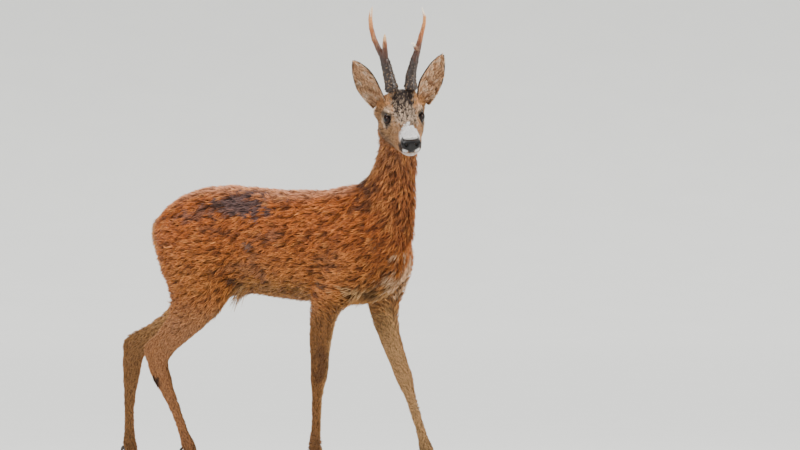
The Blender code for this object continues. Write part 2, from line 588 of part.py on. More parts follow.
def make_claws():
    """Two claws under each foot, flat on the floor, and two dewclaws behind each fetlock."""
    claws = []
    for foot, ((x, y), heading) in FEET.items():
        turn = Matrix.Rotation(math.radians(heading), 4, "Z")
        for name, side in SIDES.items():
            rings = []
            for height, length, width, shift in ((0.0, 1.0, 1.0, 0.0), (0.40, 0.96, 1.0, -0.02),
                                                 (1.0, 0.74, 0.94, -0.115)):
                ring = []
                for k in range(10):
                    angle = 2 * math.pi * k / 10
                    along, across = math.cos(angle), math.sin(angle)
                    taper = 1 - 0.50 * max(along, 0) ** 1.6
                    ring.append((along * CLAW_LENGTH / 2 * length + shift * CLAW_LENGTH,
                                 across * CLAW_WIDTH / 2 * width * taper
                                 + side * (CLAW_WIDTH / 2 + CLAW_GAP / 2 + 0.0006 * (1 - height)),
                                 height * (CORONET_HEIGHT - GAP)))
                rings.append(ring)
            claw = loft(f"hoof_{foot}_{name}", rings)
            claws.append(finish(turned(claw, Matrix.Translation((x, y, 0)) @ turn), "hoof"))
        fx, fy, fz = FETLOCKS[foot]
        for name, side in SIDES.items():
            place = turn @ Vector((-0.0155, 0.0085 * side, -0.012))
            dew = rounded(f"dewclaw_{foot}_{name}", (0, 0, 0), DEWCLAW, 8, (0, 24, 0))
            claws.append(finish(turned(dew, Matrix.Translation(Vector((fx, fy, fz)) + place)), "hoof"))
    return claws


def main():
    """Builds the animal and sets it over its origin."""
    for obj in list(bpy.data.objects):
        bpy.data.objects.remove(obj)
    nose, nose_seat = make_nose()
    seated = [*make_ears(), *make_eyes(), make_tail(), *make_antlers()]
    seated += [claw for claw in make_claws() if claw.name.startswith("dewclaw")]

    head = head_matrix()
    flesh = fused_flesh()
    cuts = [
        slab("neck cut", (0.285, 0.0, 0.6435), (0.700, 0.0, 0.715), (0.15, 0.15)),
        slab("head cut", head @ Vector((-0.058, 0, -0.036)), head.to_3x3() @ Vector((0.664, 0, 0.748)),
             (0.085, 0.085)),
        slab("floor line", (0, 0, (CORONET_HEIGHT - 0.05) / 2), (0, 0, 1), (0.7, 0.3), CORONET_HEIGHT + 0.05),
    ]
    for leg, numbers in LEG_CUTS.items():
        cuts.append(leg_cut(leg + " cut", SIDES[leg.split("_")[1]], *numbers))
    cut_away(flesh, [*(seat_for(piece) for piece in seated), nose_seat, *cuts])
    seeds = {"trunk": (0.0, 0.0, 0.70), "neck": (0.318, -0.05, 0.72), "head": head @ Vector((0.06, 0, 0.017))}
    seeds.update({leg: forms[-1][4][:3] for leg, forms in LEGS.items()})
    pieces = part_by_place(flesh, seeds)
    for name, piece in pieces.items():
        finish(piece, "face" if name == "head" else "leg" if "leg" in name else "coat")

    corners = np.array([o.matrix_world @ v.co for o in bpy.data.objects for v in o.data.vertices])
    middle = (corners.min(axis=0) + corners.max(axis=0)) / 2
    home = Matrix.Translation((-middle[0], -middle[1], -corners[:, 2].min()))
    for obj in bpy.data.objects:
        turned(obj, home)


main()
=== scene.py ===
"""The looks of a life-size roebuck in its red summer coat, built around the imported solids.

One skin replaces the solids of flesh. It lies inside them by the depth of the coat, and the coat is solid
mesh: tufts of hair that follow the lie of the fur from the nose to the tail and down the legs. Eyes, nose
pad, antlers and claws are pieces of their own. Lengths are in metres, but the tables that pass through
metres() are in millimetres. Colours are sRGB hex values.
"""

import logging
import math
from dataclasses import dataclass, field
from enum import Enum

import bmesh
import bpy
import numpy as np
from mathutils import Euler, Matrix, Vector
from mathutils.bvhtree import BVHTree
from mathutils.kdtree import KDTree


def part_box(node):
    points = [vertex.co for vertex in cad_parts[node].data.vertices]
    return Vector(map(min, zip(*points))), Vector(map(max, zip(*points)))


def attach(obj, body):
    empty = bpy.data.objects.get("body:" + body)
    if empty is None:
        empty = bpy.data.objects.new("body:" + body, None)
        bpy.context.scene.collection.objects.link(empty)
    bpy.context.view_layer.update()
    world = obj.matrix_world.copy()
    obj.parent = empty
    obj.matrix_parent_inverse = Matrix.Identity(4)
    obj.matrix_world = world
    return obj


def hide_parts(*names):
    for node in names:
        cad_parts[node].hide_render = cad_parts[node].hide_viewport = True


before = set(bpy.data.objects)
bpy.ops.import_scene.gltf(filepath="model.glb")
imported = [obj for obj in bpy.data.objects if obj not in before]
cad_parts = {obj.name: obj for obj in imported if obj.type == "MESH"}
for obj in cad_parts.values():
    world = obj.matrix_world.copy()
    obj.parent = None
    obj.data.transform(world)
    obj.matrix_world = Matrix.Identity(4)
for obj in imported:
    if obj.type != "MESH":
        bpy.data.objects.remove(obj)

Array = np.ndarray
Piece = bpy.types.Object
Finish = bpy.types.Material
Output = bpy.types.NodeSocket
Mesh = bpy.types.Mesh
Shape = bmesh.types.BMesh
Triple = tuple[float, float, float]
Pair = tuple[float, float]
Shares = dict[str, Array]

LOG = logging.getLogger("roebuck")
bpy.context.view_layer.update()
BAKE_MAP = "OFBake"  # every coat piece's map: a small patch for each tuft, at its root
STRAND_MAP = "Strand"  # across and along each tuft
GAZE_MAP = "Gaze"  # how far each point of an eye lies from the middle of its gaze
PATCH = 0.003  # a tuft's patch on the bake map
SHELL_NODES = ("trunk", "neck", "head", "tail", "foreleg_left", "foreleg_right", "hindleg_left",
               "hindleg_right")
EAR_NODES = ("ear_left", "ear_right")
REGIONS = {name: (name,) for name in ("trunk", "neck", "head", "tail")} | {"leg": SHELL_NODES[4:]}


class Side(Enum):
    """The animal's own left and right, as the sign of the head's sideways axis."""

    LEFT = 1
    RIGHT = -1

    @property
    def word(self) -> str:
        """The side's name in the names of nodes and pieces."""
        return self.name.lower()


# --- Small tools ---

def linear(colour: str) -> Array:
    """Turn an sRGB hex value into linear light.

    Args:
        colour: Six hex digits after a hash sign.

    Returns:
        Three linear values from 0 to 1.
    """
    parts = np.array([int(colour[i:i + 2], 16) / 255.0 for i in (1, 3, 5)])
    return np.where(parts <= 0.04045, parts / 12.92, ((parts + 0.055) / 1.055) ** 2.4)


def ramp(value: Array, low: float, high: float) -> Array:
    """Rise smoothly from 0 at low to 1 at high.

    Args:
        value: What is compared, an array of any shape.
        low: Where the rise starts.
        high: Where it ends; it may lie below low, and then the curve falls.

    Returns:
        Values from 0 to 1.
    """
    t = np.clip((value - low) / (high - low), 0.0, 1.0)
    return t * t * (3.0 - 2.0 * t)


def metres(*lengths: float) -> tuple[float, ...]:
    """Turn lengths in millimetres, as the tables of places and reaches give them, into metres."""
    return tuple(length / 1000.0 for length in lengths)


def unit(vectors: Array) -> Array:
    """Scale each row to length one."""
    return vectors / np.maximum(np.linalg.norm(vectors, axis=-1, keepdims=True), 1e-9)


@dataclass(frozen=True)
class Waves:
    """Smooth repeatable noise: plane waves of about one length, in fixed random directions."""

    length: float
    seed: int
    count: int = 14

    def at(self, places: Array) -> Array:
        """Read the noise.

        Args:
            places: One point a row, in metres.

        Returns:
            One value a point, mostly between -1 and 1.
        """
        rng = np.random.default_rng(self.seed)
        turns = unit(rng.normal(size=(self.count, 3))) * rng.uniform(0.7, 1.5, (self.count, 1))
        phases = rng.uniform(0.0, 2.0 * np.pi, self.count)
        angles = places @ turns.T * (2.0 * np.pi / self.length) + phases
        return np.sin(angles).sum(axis=1) * math.sqrt(2.0 / self.count) * 0.6


def object_from(name: str, mesh: Mesh) -> Piece:
    """Put a mesh in the scene as an object at the origin.

    Args:
        name: The piece's name.
        mesh: Its mesh, with its place in its vertices.

    Returns:
        The new object.
    """
    piece = bpy.data.objects.new(name, mesh)
    bpy.context.scene.collection.objects.link(piece)
    return piece


def object_of(name: str, shape: Shape) -> Piece:
    """Turn a bmesh into an object at the origin.

    Args:
        name: The piece's name.
        shape: The bmesh, which is freed.

    Returns:
        The new object.
    """
    mesh = bpy.data.meshes.new(name)
    shape.to_mesh(mesh)
    shape.free()
    return object_from(name, mesh)


def dressed(piece: Piece, finish: Finish) -> Piece:
    """Shade a piece smooth and give it its one finish.

    Args:
        piece: The piece.
        finish: Its material.

    Returns:
        The same piece.
    """
    piece.data.shade_smooth()
    piece.data.materials.clear()
    piece.data.materials.append(finish)
    return piece


def tinted(mesh: Mesh, colour: Array) -> None:
    """Store the tint that the finishes multiply by.

    Args:
        mesh: The mesh.
        colour: Linear colours, or greys in one column, one row a vertex.
    """
    shade = np.ones((len(colour), 4), np.float32)
    shade[:, :3] = colour
    tint = mesh.color_attributes.new("tint", "FLOAT_COLOR", "POINT")
    tint.data.foreach_set("color", shade.ravel())


def baked_down(piece: Piece) -> Piece:
    """Apply all modifiers of a piece.

    Args:
        piece: An object with modifiers.

    Returns:
        The same object, with the evaluated mesh as its own.
    """
    shape = piece.evaluated_get(bpy.context.evaluated_depsgraph_get())
    mesh = bpy.data.meshes.new_from_object(shape)
    piece.modifiers.clear()
    old = piece.data
    piece.data = mesh
    bpy.data.meshes.remove(old)
    mesh.name = piece.name
    return piece


def finer(piece: Piece, levels: int) -> Piece:
    """Round a piece by subdivision.

    Args:
        piece: The piece.
        levels: How often its faces are divided.

    Returns:
        The same object, with its finer mesh.
    """
    rounding = piece.modifiers.new("finer", "SUBSURF")
    rounding.levels = rounding.render_levels = levels
    return baked_down(piece)


def merged_copy(node: str) -> Shape:
    """Copy a CAD node's loose triangles and join them at their corners.

    Args:
        node: The CAD node's name.

    Returns:
        A closed bmesh with normals up to date.
    """
    shape = bmesh.new()
    shape.from_mesh(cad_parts[node].data)
    bmesh.ops.remove_doubles(shape, verts=shape.verts, dist=1e-5)
    shape.normal_update()
    return shape


def node_places(node: str) -> Array:
    """Read a CAD node's corners, one a row."""
    return np.array([tuple(vertex.co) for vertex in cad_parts[node].data.vertices])


def in_box(node: str, places: Array, below: float, above: float) -> Array:
    """True for world points in a CAD node's box, widened by below and above at its two ends."""
    low, high = (np.array(corner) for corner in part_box(node))
    return np.all((places > low - below) & (places < high + above), axis=1)


def joined(shape: Shape, bent: float, skewed: float) -> None:
    """Join triangles into quads, where the angles at faces and corners allow it."""
    bmesh.ops.join_triangles(shape, faces=shape.faces, angle_face_threshold=bent,
                             angle_shape_threshold=skewed)


def swollen(shape: Shape, by: float) -> None:
    """Move every vertex of a shape along its normal."""
    for vertex in shape.verts:
        vertex.co += vertex.normal * by


def fused(name: str, shapes: list[Shape], grain: float) -> Piece:
    """Fuse overlapping closed shapes into one, by voxels.

    Args:
        name: The new object's name.
        shapes: The closed shapes, which are freed.
        grain: The voxel size.

    Returns:
        An object with an even net of quads.
    """
    mesh = bpy.data.meshes.new(name)
    whole = bmesh.new()
    for shape in shapes:
        shape.to_mesh(mesh)
        whole.from_mesh(mesh)
        shape.free()
    whole.to_mesh(mesh)
    whole.free()
    piece = object_from(name, mesh)
    remesh = piece.modifiers.new("fuse", "REMESH")
    remesh.mode = "VOXEL"
    remesh.voxel_size = grain
    return baked_down(piece)


@dataclass
class Net:
    """A mesh as arrays, for work that goes over every vertex at once."""

    mesh: Mesh
    places: Array = field(init=False)
    edges: Array = field(init=False)
    corners: Array = field(init=False)
    degree: Array = field(init=False)

    def __post_init__(self) -> None:
        """Read the vertices, edges and triangles."""
        self.mesh.calc_loop_triangles()
        self.places = self.read("vertices", "co", 3, np.float32).astype(float)
        self.edges = self.read("edges", "vertices", 2, np.int32)
        self.corners = self.read("loop_triangles", "vertices", 3, np.int32)
        self.degree = np.maximum(np.bincount(self.edges.ravel(), minlength=len(self.places)), 1)

    def read(self, domain: str, item: str, width: int, kind: type) -> Array:
        """Read one property of all a mesh's items.

        Args:
            domain: The mesh's collection, such as vertices.
            item: The property's name.
            width: How many numbers each holds.
            kind: Their numpy type.

        Returns:
            One row an item.
        """
        items = getattr(self.mesh, domain)
        values = np.empty(len(items) * width, kind)
        items.foreach_get(item, values)
        return values.reshape(-1, width)

    def mean_around(self, values: Array) -> Array:
        """Average each vertex's neighbours.

        Args:
            values: One row a vertex.

        Returns:
            The means, one row a vertex.
        """
        total = np.empty_like(values)
        first, second = self.edges.T
        for k in range(values.shape[1]):
            column = values[:, k]
            total[:, k] = (np.bincount(first, column[second], len(values))
                           + np.bincount(second, column[first], len(values)))
        return total / self.degree[:, None]

    def spread(self, values: Array, rounds: int, strength: Array | float = 0.5) -> Array:
        """Even values out over the net.

        Args:
            values: One row a vertex.
            rounds: How often each vertex moves towards its neighbours' mean.
            strength: How far it moves each time, for all or for each vertex.

        Returns:
            The evened values.
        """
        share = np.broadcast_to(np.asarray(strength, float).reshape(-1, 1), (len(values), 1))
        for _ in range(rounds):
            values = values + share * (self.mean_around(values) - values)
        return values

    def write(self) -> None:
        """Put the places back in the mesh."""
        self.mesh.vertices.foreach_set("co", self.places.astype(np.float32).ravel())
        self.mesh.update()

    def triangles(self) -> Array:
        """The three corners of every triangle, as three arrays of places."""
        return self.places[self.corners.T]

    def gathered(self, vectors: Array) -> Array:
        """Add up at each vertex the vectors of the triangles round it.

        Args:
            vectors: One row a triangle.

        Returns:
            One row a vertex.
        """
        total = np.zeros_like(self.places)
        for k in range(3):
            for axis in range(3):
                total[:, axis] += np.bincount(self.corners[:, k], vectors[:, axis], len(total))
        return total

    def normals(self) -> Array:
        """Work out each vertex's outward normal from its triangles."""
        a, b, c = self.triangles()
        return unit(self.gathered(np.cross(b - a, c - a)))


# --- The head's own frame ---

@dataclass(frozen=True)
class HeadFrame:
    """Forward, left and up of the turned head, measured from the point between the eyeballs."""

    yaw: float = -53.3
    pitch: float = 20.0
    roll: float = 4.5

    @property
    def origin(self) -> Array:
        """The middle between the two eyes' boxes."""
        corners = [np.array(corner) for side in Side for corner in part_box(f"eye_{side.word}")]
        return sum(corners) / len(corners)

    @property
    def axes(self) -> Array:
        """The head's forward, left and up axes, as columns."""
        turn = Euler([math.radians(a) for a in (self.roll, self.pitch, self.yaw)], "XYZ")
        return np.array(turn.to_matrix())

    def local(self, places: Array) -> Array:
        """Turn world places into forward, left and up."""
        return (places - self.origin) @ self.axes

    def world(self, places: Array) -> Array:
        """Turn places in forward, left and up into world places."""
        return np.asarray(places) @ self.axes.T + self.origin


HEAD = HeadFrame()


# --- The skin ---

def bell(places: Array, middle: Array | Triple, reach: Triple) -> Array:
    """One at the middle, falling off smoothly by its reach along each axis."""
    return np.exp(-(((places - middle) / reach) ** 2).sum(axis=1))


@dataclass(frozen=True)
class Stroke:
    """One stroke of the sculptor's thumb: a soft bump or hollow."""

    place: Triple
    reach: Triple  # how far it spreads along each axis
    lift: float  # how far it moves the skin out, or in if negative
    paired: bool = True  # the same on both sides, where sideways is the second axis

    def at(self, places: Array) -> Array:
        """How far the stroke lifts each place.

        Args:
            places: Points in the stroke's own frame.

        Returns:
            One distance a point, in metres.
        """
        total = np.zeros(len(places))
        sides = (1.0, -1.0) if self.paired and self.place[1] else (1.0,)
        for side in sides:
            total += self.lift * bell(places, np.array(self.place) * (1.0, side, 1.0), self.reach)
        return total


@dataclass(frozen=True)
class Nudge:
    """A soft pull on the skin towards one side, in world axes."""

    place: Triple
    reach: Triple
    move: Triple

    def at(self, places: Array) -> Array:
        """How the nudge moves each world point."""
        return bell(places, self.place, self.reach)[:, None] * self.move


@dataclass(frozen=True)
class Groove:
    """A line pressed into the head along straight legs, the same on both sides."""

    path: tuple[Triple, ...]
    width: float
    depth: float

    def nearness(self, places: Array) -> Array:
        """How near each place is to the line.

        Args:
            places: Head-frame points.

        Returns:
            One on the line, falling to zero beyond its width.
        """
        best = np.full(len(places), 1e9)
        for side in (1.0, -1.0):
            points = [np.array(p) * (1.0, side, 1.0) for p in self.path]
            for a, b in zip(points, points[1:]):
                along = np.clip((places - a) @ (b - a) / np.dot(b - a, b - a), 0.0, 1.0)
                away = np.linalg.norm(places - a - along[:, None] * (b - a), axis=1)
                best = np.minimum(best, away)
        return np.exp(-(best / self.width) ** 2)


@dataclass(frozen=True)
class Socket:
    """An eye's opening in the skin: an oval on the eyeball, closed in by two lids."""

    side: Side
    outward: Triple = (0.66, 0.74, 0.1)
    width: float = 0.0264
    height: float = 0.0204
    tilt: float = 14.0  # the front corner's drop, in degrees
    lid: float = 0.0016  # how far a lid stands off the eyeball
    sink: float = 0.004  # how far the skin dives behind the eyeball's surface

    @property
    def centre(self) -> Array:
        """The eyeball's centre, in the head's frame."""
        low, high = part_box(f"eye_{self.side.word}")
        return HEAD.local(np.array([(low + high) / 2.0]))[0]

    @property
    def radius(self) -> float:
        """The eyeball's radius."""
        low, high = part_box(f"eye_{self.side.word}")
        return max(high - low) / 2.0

    @property
    def axes(self) -> Array:
        """Find the opening's own directions.

        Returns:
            Outward, forward along the lids, and up across them, as rows in the head's frame.
        """
        out = unit(np.array(self.outward) * (1.0, self.side.value, 1.0))
        ahead = unit(np.array((1.0, 0.0, 0.0)) - out * out[0])
        up = np.cross(out, ahead) * self.side.value
        up = up if up[2] > 0 else -up
        drop = math.radians(self.tilt)
        along = ahead * math.cos(drop) - up * math.sin(drop)
        across = ahead * math.sin(drop) + up * math.cos(drop)
        return np.array((out, along, across))

    def oval(self, places: Array) -> tuple[Array, Array]:
        """Where places lie about the opening.

        Args:
            places: Head-frame points.

        Returns:
            The distance from the eyeball's centre, and the place on the oval: 0 at its middle, 1 on its
            rim, and more outside it.
        """
        away = places - self.centre
        far = np.linalg.norm(away, axis=1)
        out, along, across = (unit(away) @ self.axes.T).T
        angle = np.arccos(np.clip(out, -1.0, 1.0)) / np.maximum(np.hypot(along, across), 1e-6)
        wide, high = (math.asin(size / 2.0 / self.radius) for size in (self.width, self.height))
        return far, np.hypot(along * angle / wide, across * angle / high)

    def shaped(self, places: Array) -> Array:
        """Open the skin over the eyeball and lay the lids on it.

        Args:
            places: Head-frame points of the skin.

        Returns:
            The points with the opening.
        """
        far, oval = self.oval(places)
        near = ramp(far, 0.03, 0.018)
        swell = np.exp(-((oval - 1.08) / 0.07) ** 2) - 0.6 * np.exp(-((oval - 1.3) / 0.08) ** 2)
        rim = self.radius + self.lid * (0.55 + 0.45 * swell)
        lid_share = ramp(oval, 1.55, 1.12) * near
        target = far + (rim - far) * lid_share
        inside = ramp(oval, 1.035, 0.965)
        target += (self.radius - self.sink - target) * inside * near
        return self.centre + unit(places - self.centre) * target[:, None]

    def surround(self, places: Array) -> Array:
        """One on the skin just outside the lids, and zero on their rims and further off."""
        far, oval = self.oval(places)
        return ramp(oval, 1.12, 1.25) * ramp(oval, 2.2, 1.8) * ramp(far, 0.032, 0.024)


def eye_ovals(places: Array) -> list[tuple[Array, Array]]:
    """Where head-frame points lie about the left eye's opening and the right one's."""
    return [Socket(side).oval(places) for side in Side]


def nearest_of(nodes: tuple[str, ...], places: Array, margin: float = 0.03,
               reach: float = 0.05) -> Array:
    """Find the CAD node that each point lies nearest to.

    Args:
        nodes: The nodes' names.
        places: World points.
        margin: How far outside a node's box a point may lie to count.
        reach: How far from its surface.

    Returns:
        An index into nodes for each point.
    """
    best = np.full(len(places), 1e9)
    owner = np.zeros(len(places), int)
    for index, node in enumerate(nodes):
        shape = merged_copy(node)
        tree = BVHTree.FromBMesh(shape)
        shape.free()
        for k in np.flatnonzero(in_box(node, places, margin, margin)):
            away = tree.find_nearest(places[k], reach)[3]
            if away is not None and away < best[k]:
                best[k], owner[k] = away, index
    return owner


def owned(nodes: tuple[str, ...], regions: dict[str, tuple[str, ...]], places: Array) -> Array:
    """Sort points into regions by the CAD node nearest to them.

    Args:
        nodes: The nodes that are tried.
        regions: Each region's nodes.
        places: World points.

    Returns:
        One row a point and one column a region: one in its own region, and zero in the others.
    """
    owner = nearest_of(nodes, places)
    hard = [np.isin(owner, [nodes.index(name) for name in names]) for names in regions.values()]
    return np.stack(hard, 1).astype(float)


@dataclass
class Skin:
    """The one skin of the whole animal, inside the solids by the depth of the coat."""

    grain: float = 0.005  # the net's mesh on the body; it is halved on the head, and again on the face
    bridge: float = 0.0008  # how far the solids grow to close the cuts between them
    depths: dict[str, float] = field(default_factory=lambda: {
        "trunk": 0.0068, "neck": 0.0075, "head": 0.002, "tail": 0.006, "leg": 0.0022, "thigh": 0.0064})
    thigh_line: Pair = (0.3, 0.46)  # the heights where the thighs' deep coat starts and is full
    body_rounds: int = 70  # how often the body's net is evened
    kept: float = 0.93  # how much of its shape a fine part keeps in that
    head_rounds: int = 26
    strokes: tuple[Stroke, ...] = tuple(
        Stroke(metres(*place), metres(*reach), lift / 1000.0) for place, reach, lift in (
        ((6, 30, 18.5), (20, 9, 6), 2.2),  # brow ridge over the eye
        ((27, 23.5, -6), (10, 6, 8), -2.6),  # tear pit before the eye
        ((16, 34, -18), (16, 8, 5), 1.4),  # cheek bone under the eye
        ((40, 20, -30), (22, 10, 12), -2.2),  # hollow of the cheek
        ((55, 0, 10), (25, 8, 10), 1),  # bridge of the nose
        ((96, 19, -30), (13, 7, 10), 2),  # whisker pad
        ((0, 14, 34), (18, 8, 14), 1),  # forehead on each side
        ((10, 0, 32), (16, 5, 14), -1),  # furrow between them
        ((-35, 38, -25), (22, 10, 16), 2),  # jaw muscle
        ((105, 0, -48.5), (10, 13, 5), 2.2),  # chin
        ((124, 0, -23.5), (20, 15, 11), -6),  # seat of the nose pad
    ))
    muscles: tuple[Stroke, ...] = tuple(
        Stroke(metres(*place), metres(*reach), lift / 1000.0, False) for place, reach, lift in (
        ((-60, -45, 525), (28, 50, 48), -6),  # flank before the thigh
        ((-60, 119, 525), (28, 50, 48), -6),
        ((-88, -30, 475), (18, 40, 20), -4),  # fold of the groin
        ((-165, -58, 545), (45, 50, 60), 4.5),  # haunch
        ((-165, 132, 545), (45, 50, 60), 4.5),
        ((-124, -19, 660), (26, 30, 16), 2.5),  # hip bone
        ((-124, 93, 660), (26, 30, 16), 2.5),
        ((190, -45, 590), (34, 50, 55), 4),  # shoulder blade
        ((190, 118, 590), (34, 50, 55), 4),
        ((112, -48, 570), (20, 50, 55), -4.5),  # hollow behind it
        ((112, 122, 570), (20, 50, 55), -4.5),
        ((131, -38, 474), (22, 40, 22), 6.5),  # elbow
        ((192, -54, 458), (12, 40, 16), -5.5),  # crease of the armpit
        ((317, -4, 500), (9, 20, 50), -6),  # parting of the breast
        ((284, -30, 520), (20, 30, 45), 4),
        ((338, 40, 525), (20, 30, 45), 4),
        ((276, 4, 444), (22, 26, 12), -5),  # hollow between forelegs
        ((-345, 105, 400), (50, 50, 50), -5),  # slim far thigh
        ((-272, -20, 455), (35, 60, 45), -6),  # cut of the rump
    ))
    nudges: tuple[Nudge, ...] = tuple(Nudge(*(metres(*row) for row in rows)) for rows in (
        ((316, -21, 868), (22, 26, 14), (-11, -6.4, 0)),
        ((318, -12, 832), (34, 34, 28), (-7, -4, 0)),
        ((385, 40, 872), (22, 20, 18), (4, 4, 0)),
        ((409, 13, 940), (20, 22, 28), (-5, -3, 0)),
    ))
    mouth: Groove = Groove(((0.127, 0.0, -0.043), (0.12, 0.014, -0.0415), (0.104, 0.024, -0.0385),
                            (0.08, 0.029, -0.0345)), 0.0021, 0.0032)

    def flesh(self) -> Piece:
        """Fuse the solids of flesh, with nose, eyes and the feet of the ears to fill their seats.

        Returns:
            The whole, in an even net.
        """
        shapes = [merged_copy(node) for node in (*SHELL_NODES, "nose", "eye_left", "eye_right")]
        for shape in shapes:
            swollen(shape, self.bridge)
        shapes += [self.ear_plug(node) for node in EAR_NODES]
        return fused("skin", shapes, self.grain)

    def ear_plug(self, node: str, height: float = 0.006) -> Shape:
        """Make the solid foot of an ear.

        Args:
            node: The ear's CAD node.
            height: How much of its length counts as its foot.

        Returns:
            The hull of the foot, as a closed bmesh.
        """
        shape = merged_copy(node)
        places = HEAD.local(np.array([v.co for v in shape.verts]))
        foot = places[:, 2].min() + height
        gone = [v for v, place in zip(shape.verts, places) if place[2] > foot]
        bmesh.ops.delete(shape, geom=gone, context="VERTS")
        made = bmesh.ops.convex_hull(shape, input=shape.verts, use_existing_faces=False)
        loose = [g for g in made["geom_interior"] + made["geom_unused"] if isinstance(g, bmesh.types.BMVert)]
        bmesh.ops.delete(shape, geom=list(set(loose)), context="VERTS")
        wires = [e for e in shape.edges if len(e.link_faces) != 2]
        bmesh.ops.delete(shape, geom=wires, context="EDGES")
        shape.normal_update()
        bmesh.ops.recalc_face_normals(shape, faces=shape.faces)
        swollen(shape, self.bridge)
        return shape

    def shares(self, net: Net) -> Shares:
        """Work out how much each vertex belongs to each region.

        Args:
            net: The skin's net.

        Returns:
            A share from 0 to 1 for each region, one a vertex.
        """
        hard = owned(SHELL_NODES, REGIONS, net.places)
        return dict(zip(REGIONS, net.spread(hard, 24).T))

    def coat_depth(self, shares: Shares, places: Array) -> Array:
        """How far the skin lies inside the coat's tips.

        Args:
            shares: The regions' shares.
            places: World points.

        Returns:
            One distance a vertex.
        """
        upper = ramp(places[:, 2], *self.thigh_line)
        leg = self.depths["leg"] + (self.depths["thigh"] - self.depths["leg"]) * upper
        return shares["leg"] * leg + sum(shares[name] * self.depths[name] for name in list(REGIONS)[:4])

    def build(self) -> Piece:
        """Make the skin.

        Returns:
            The skin, one closed mesh.
        """
        skin = self.flesh()
        net = Net(skin.data)
        shares = self.shares(net)
        low = ramp(net.places[:, 2], 0.46, 0.24) * shares["leg"]
        fine = np.clip(shares["head"] * 1.2 + low + shares["tail"], 0.0, 1.0)
        net.places = net.spread(net.places, self.body_rounds, 0.5 * (1.0 - self.kept * fine))
        lift = sum(stroke.at(net.places) for stroke in self.muscles) - self.coat_depth(shares, net.places)
        net.places += net.normals() * lift[:, None]
        net.write()
        LOG.info("skin: %d vertices before the head is refined", len(net.places))
        self.refine(skin)
        self.sculpt(skin)
        return skin

    def refine(self, skin: Piece) -> None:
        """Halve the net's mesh on the head, again round the eyes and on the muzzle, and again on the lids.

        Args:
            skin: The skin, which is changed.
        """
        shape = bmesh.new()
        shape.from_mesh(skin.data)
        for reach in (self.on_head, self.on_face, self.on_lids):
            centres = HEAD.local(np.array([f.calc_center_median() for f in shape.faces]))
            chosen = [face for face, inside in zip(shape.faces, reach(centres)) if inside]
            edges = list({edge for face in chosen for edge in face.edges})
            bmesh.ops.subdivide_edges(shape, edges=edges, cuts=1, use_grid_fill=True, smooth=0.0)
        shape.to_mesh(skin.data)
        shape.free()

    @staticmethod
    def on_head(places: Array) -> Array:
        """True for head-frame points of the head proper."""
        x, y, z = places.T
        return (x > -0.085) & (x + z > -0.11) & (x < 0.2) & (abs(y) < 0.075) & (z > -0.085)

    @staticmethod
    def on_face(places: Array) -> Array:
        """Find what lies near an eye or on the muzzle.

        Args:
            places: Head-frame points.

        Returns:
            True for each point that does.
        """
        x, y, z = places.T
        eye = np.hypot(x - 0.006, np.hypot(abs(y) - 0.036, z)) < 0.028
        return eye | ((x > 0.082) & (x < 0.2) & (abs(y) < 0.06) & (z > -0.085))

    @staticmethod
    def on_lids(places: Array) -> Array:
        """True for head-frame points on or beside an eye's lids."""
        return np.any([(far < 0.026) & (oval > 0.75) & (oval < 1.55)
                       for far, oval in eye_ovals(places)], axis=0)

    def sculpt(self, skin: Piece) -> None:
        """Shape the head: bones and hollows, mouth, and lids round the eyes.

        Args:
            skin: The skin, which is changed.
        """
        net = Net(skin.data)
        local = HEAD.local(net.places)
        head = ramp(local[:, 0] + 0.6 * local[:, 2], -0.1, -0.04) * (np.abs(local[:, 1]) < 0.08)
        net.places = net.spread(net.places, self.head_rounds, 0.45 * head)
        normals = net.normals()
        local = HEAD.local(net.places)
        lift = sum(stroke.at(local) for stroke in self.strokes)
        lift -= self.mouth.nearness(local) * self.mouth.depth
        net.places += normals * (lift * head)[:, None]
        net.places = net.spread(net.places, 2, 0.4 * head)
        local = HEAD.local(net.places)
        for side in Side:
            local = Socket(side).shaped(local)
        around = sum(Socket(side).surround(local) for side in Side)
        local = net.spread(local, 14, 0.5 * around)
        near = np.any([far < 0.04 for far, _ in eye_ovals(local)], axis=0)
        net.places[near] = HEAD.world(local[near])
        net.write()


@dataclass(frozen=True)
class Ears:
    """The two ears: thin curled shells grown onto the skin."""

    thin: float = 0.0004  # how far the ear's skin lies inside its solid
    foot: float = 0.012  # how much of its length counts as its foot
    stretch: Triple = (1.6, 1.6, 1.0)  # the shape of the soft join round the foot
    blend: Pair = (0.0172, 0.008)  # the distances at which it starts and is full

    def shell(self, node: str) -> Piece:
        """Make one ear's fine closed shell from its CAD solid.

        Args:
            node: The ear's CAD node.

        Returns:
            The shell.
        """
        shape = merged_copy(node)
        joined(shape, 0.9, 0.9)
        swollen(shape, -self.thin)
        return finer(object_of(node + "_skin", shape), 2)

    def grow(self, skin: Piece, nudges: tuple[Nudge, ...]) -> None:
        """Unite both ears with the skin, soften the joins, and fill out their feet.

        Args:
            skin: The skin, which is changed.
            nudges: Soft pulls on the finished shape.
        """
        for node in EAR_NODES:
            ear = self.shell(node)
            union = skin.modifiers.new("ear", "BOOLEAN")
            union.operation, union.solver, union.object = "UNION", "EXACT", ear
            baked_down(skin)
            bpy.data.objects.remove(ear)
        net = Net(skin.data)
        local = HEAD.local(net.places)
        near = np.zeros(len(local))
        for node in EAR_NODES:
            ear = HEAD.local(node_places(node))
            foot = ear[ear[:, 2] < ear[:, 2].min() + self.foot].mean(axis=0)
            away = np.linalg.norm((local - foot) / self.stretch, axis=1)
            near = np.maximum(near, ramp(away, *self.blend))
        net.places = net.spread(net.places, 5, 0.5 * near)
        net.places += sum(nudge.at(net.places) for nudge in nudges)
        net.write()


# --- The lie of the hair ---

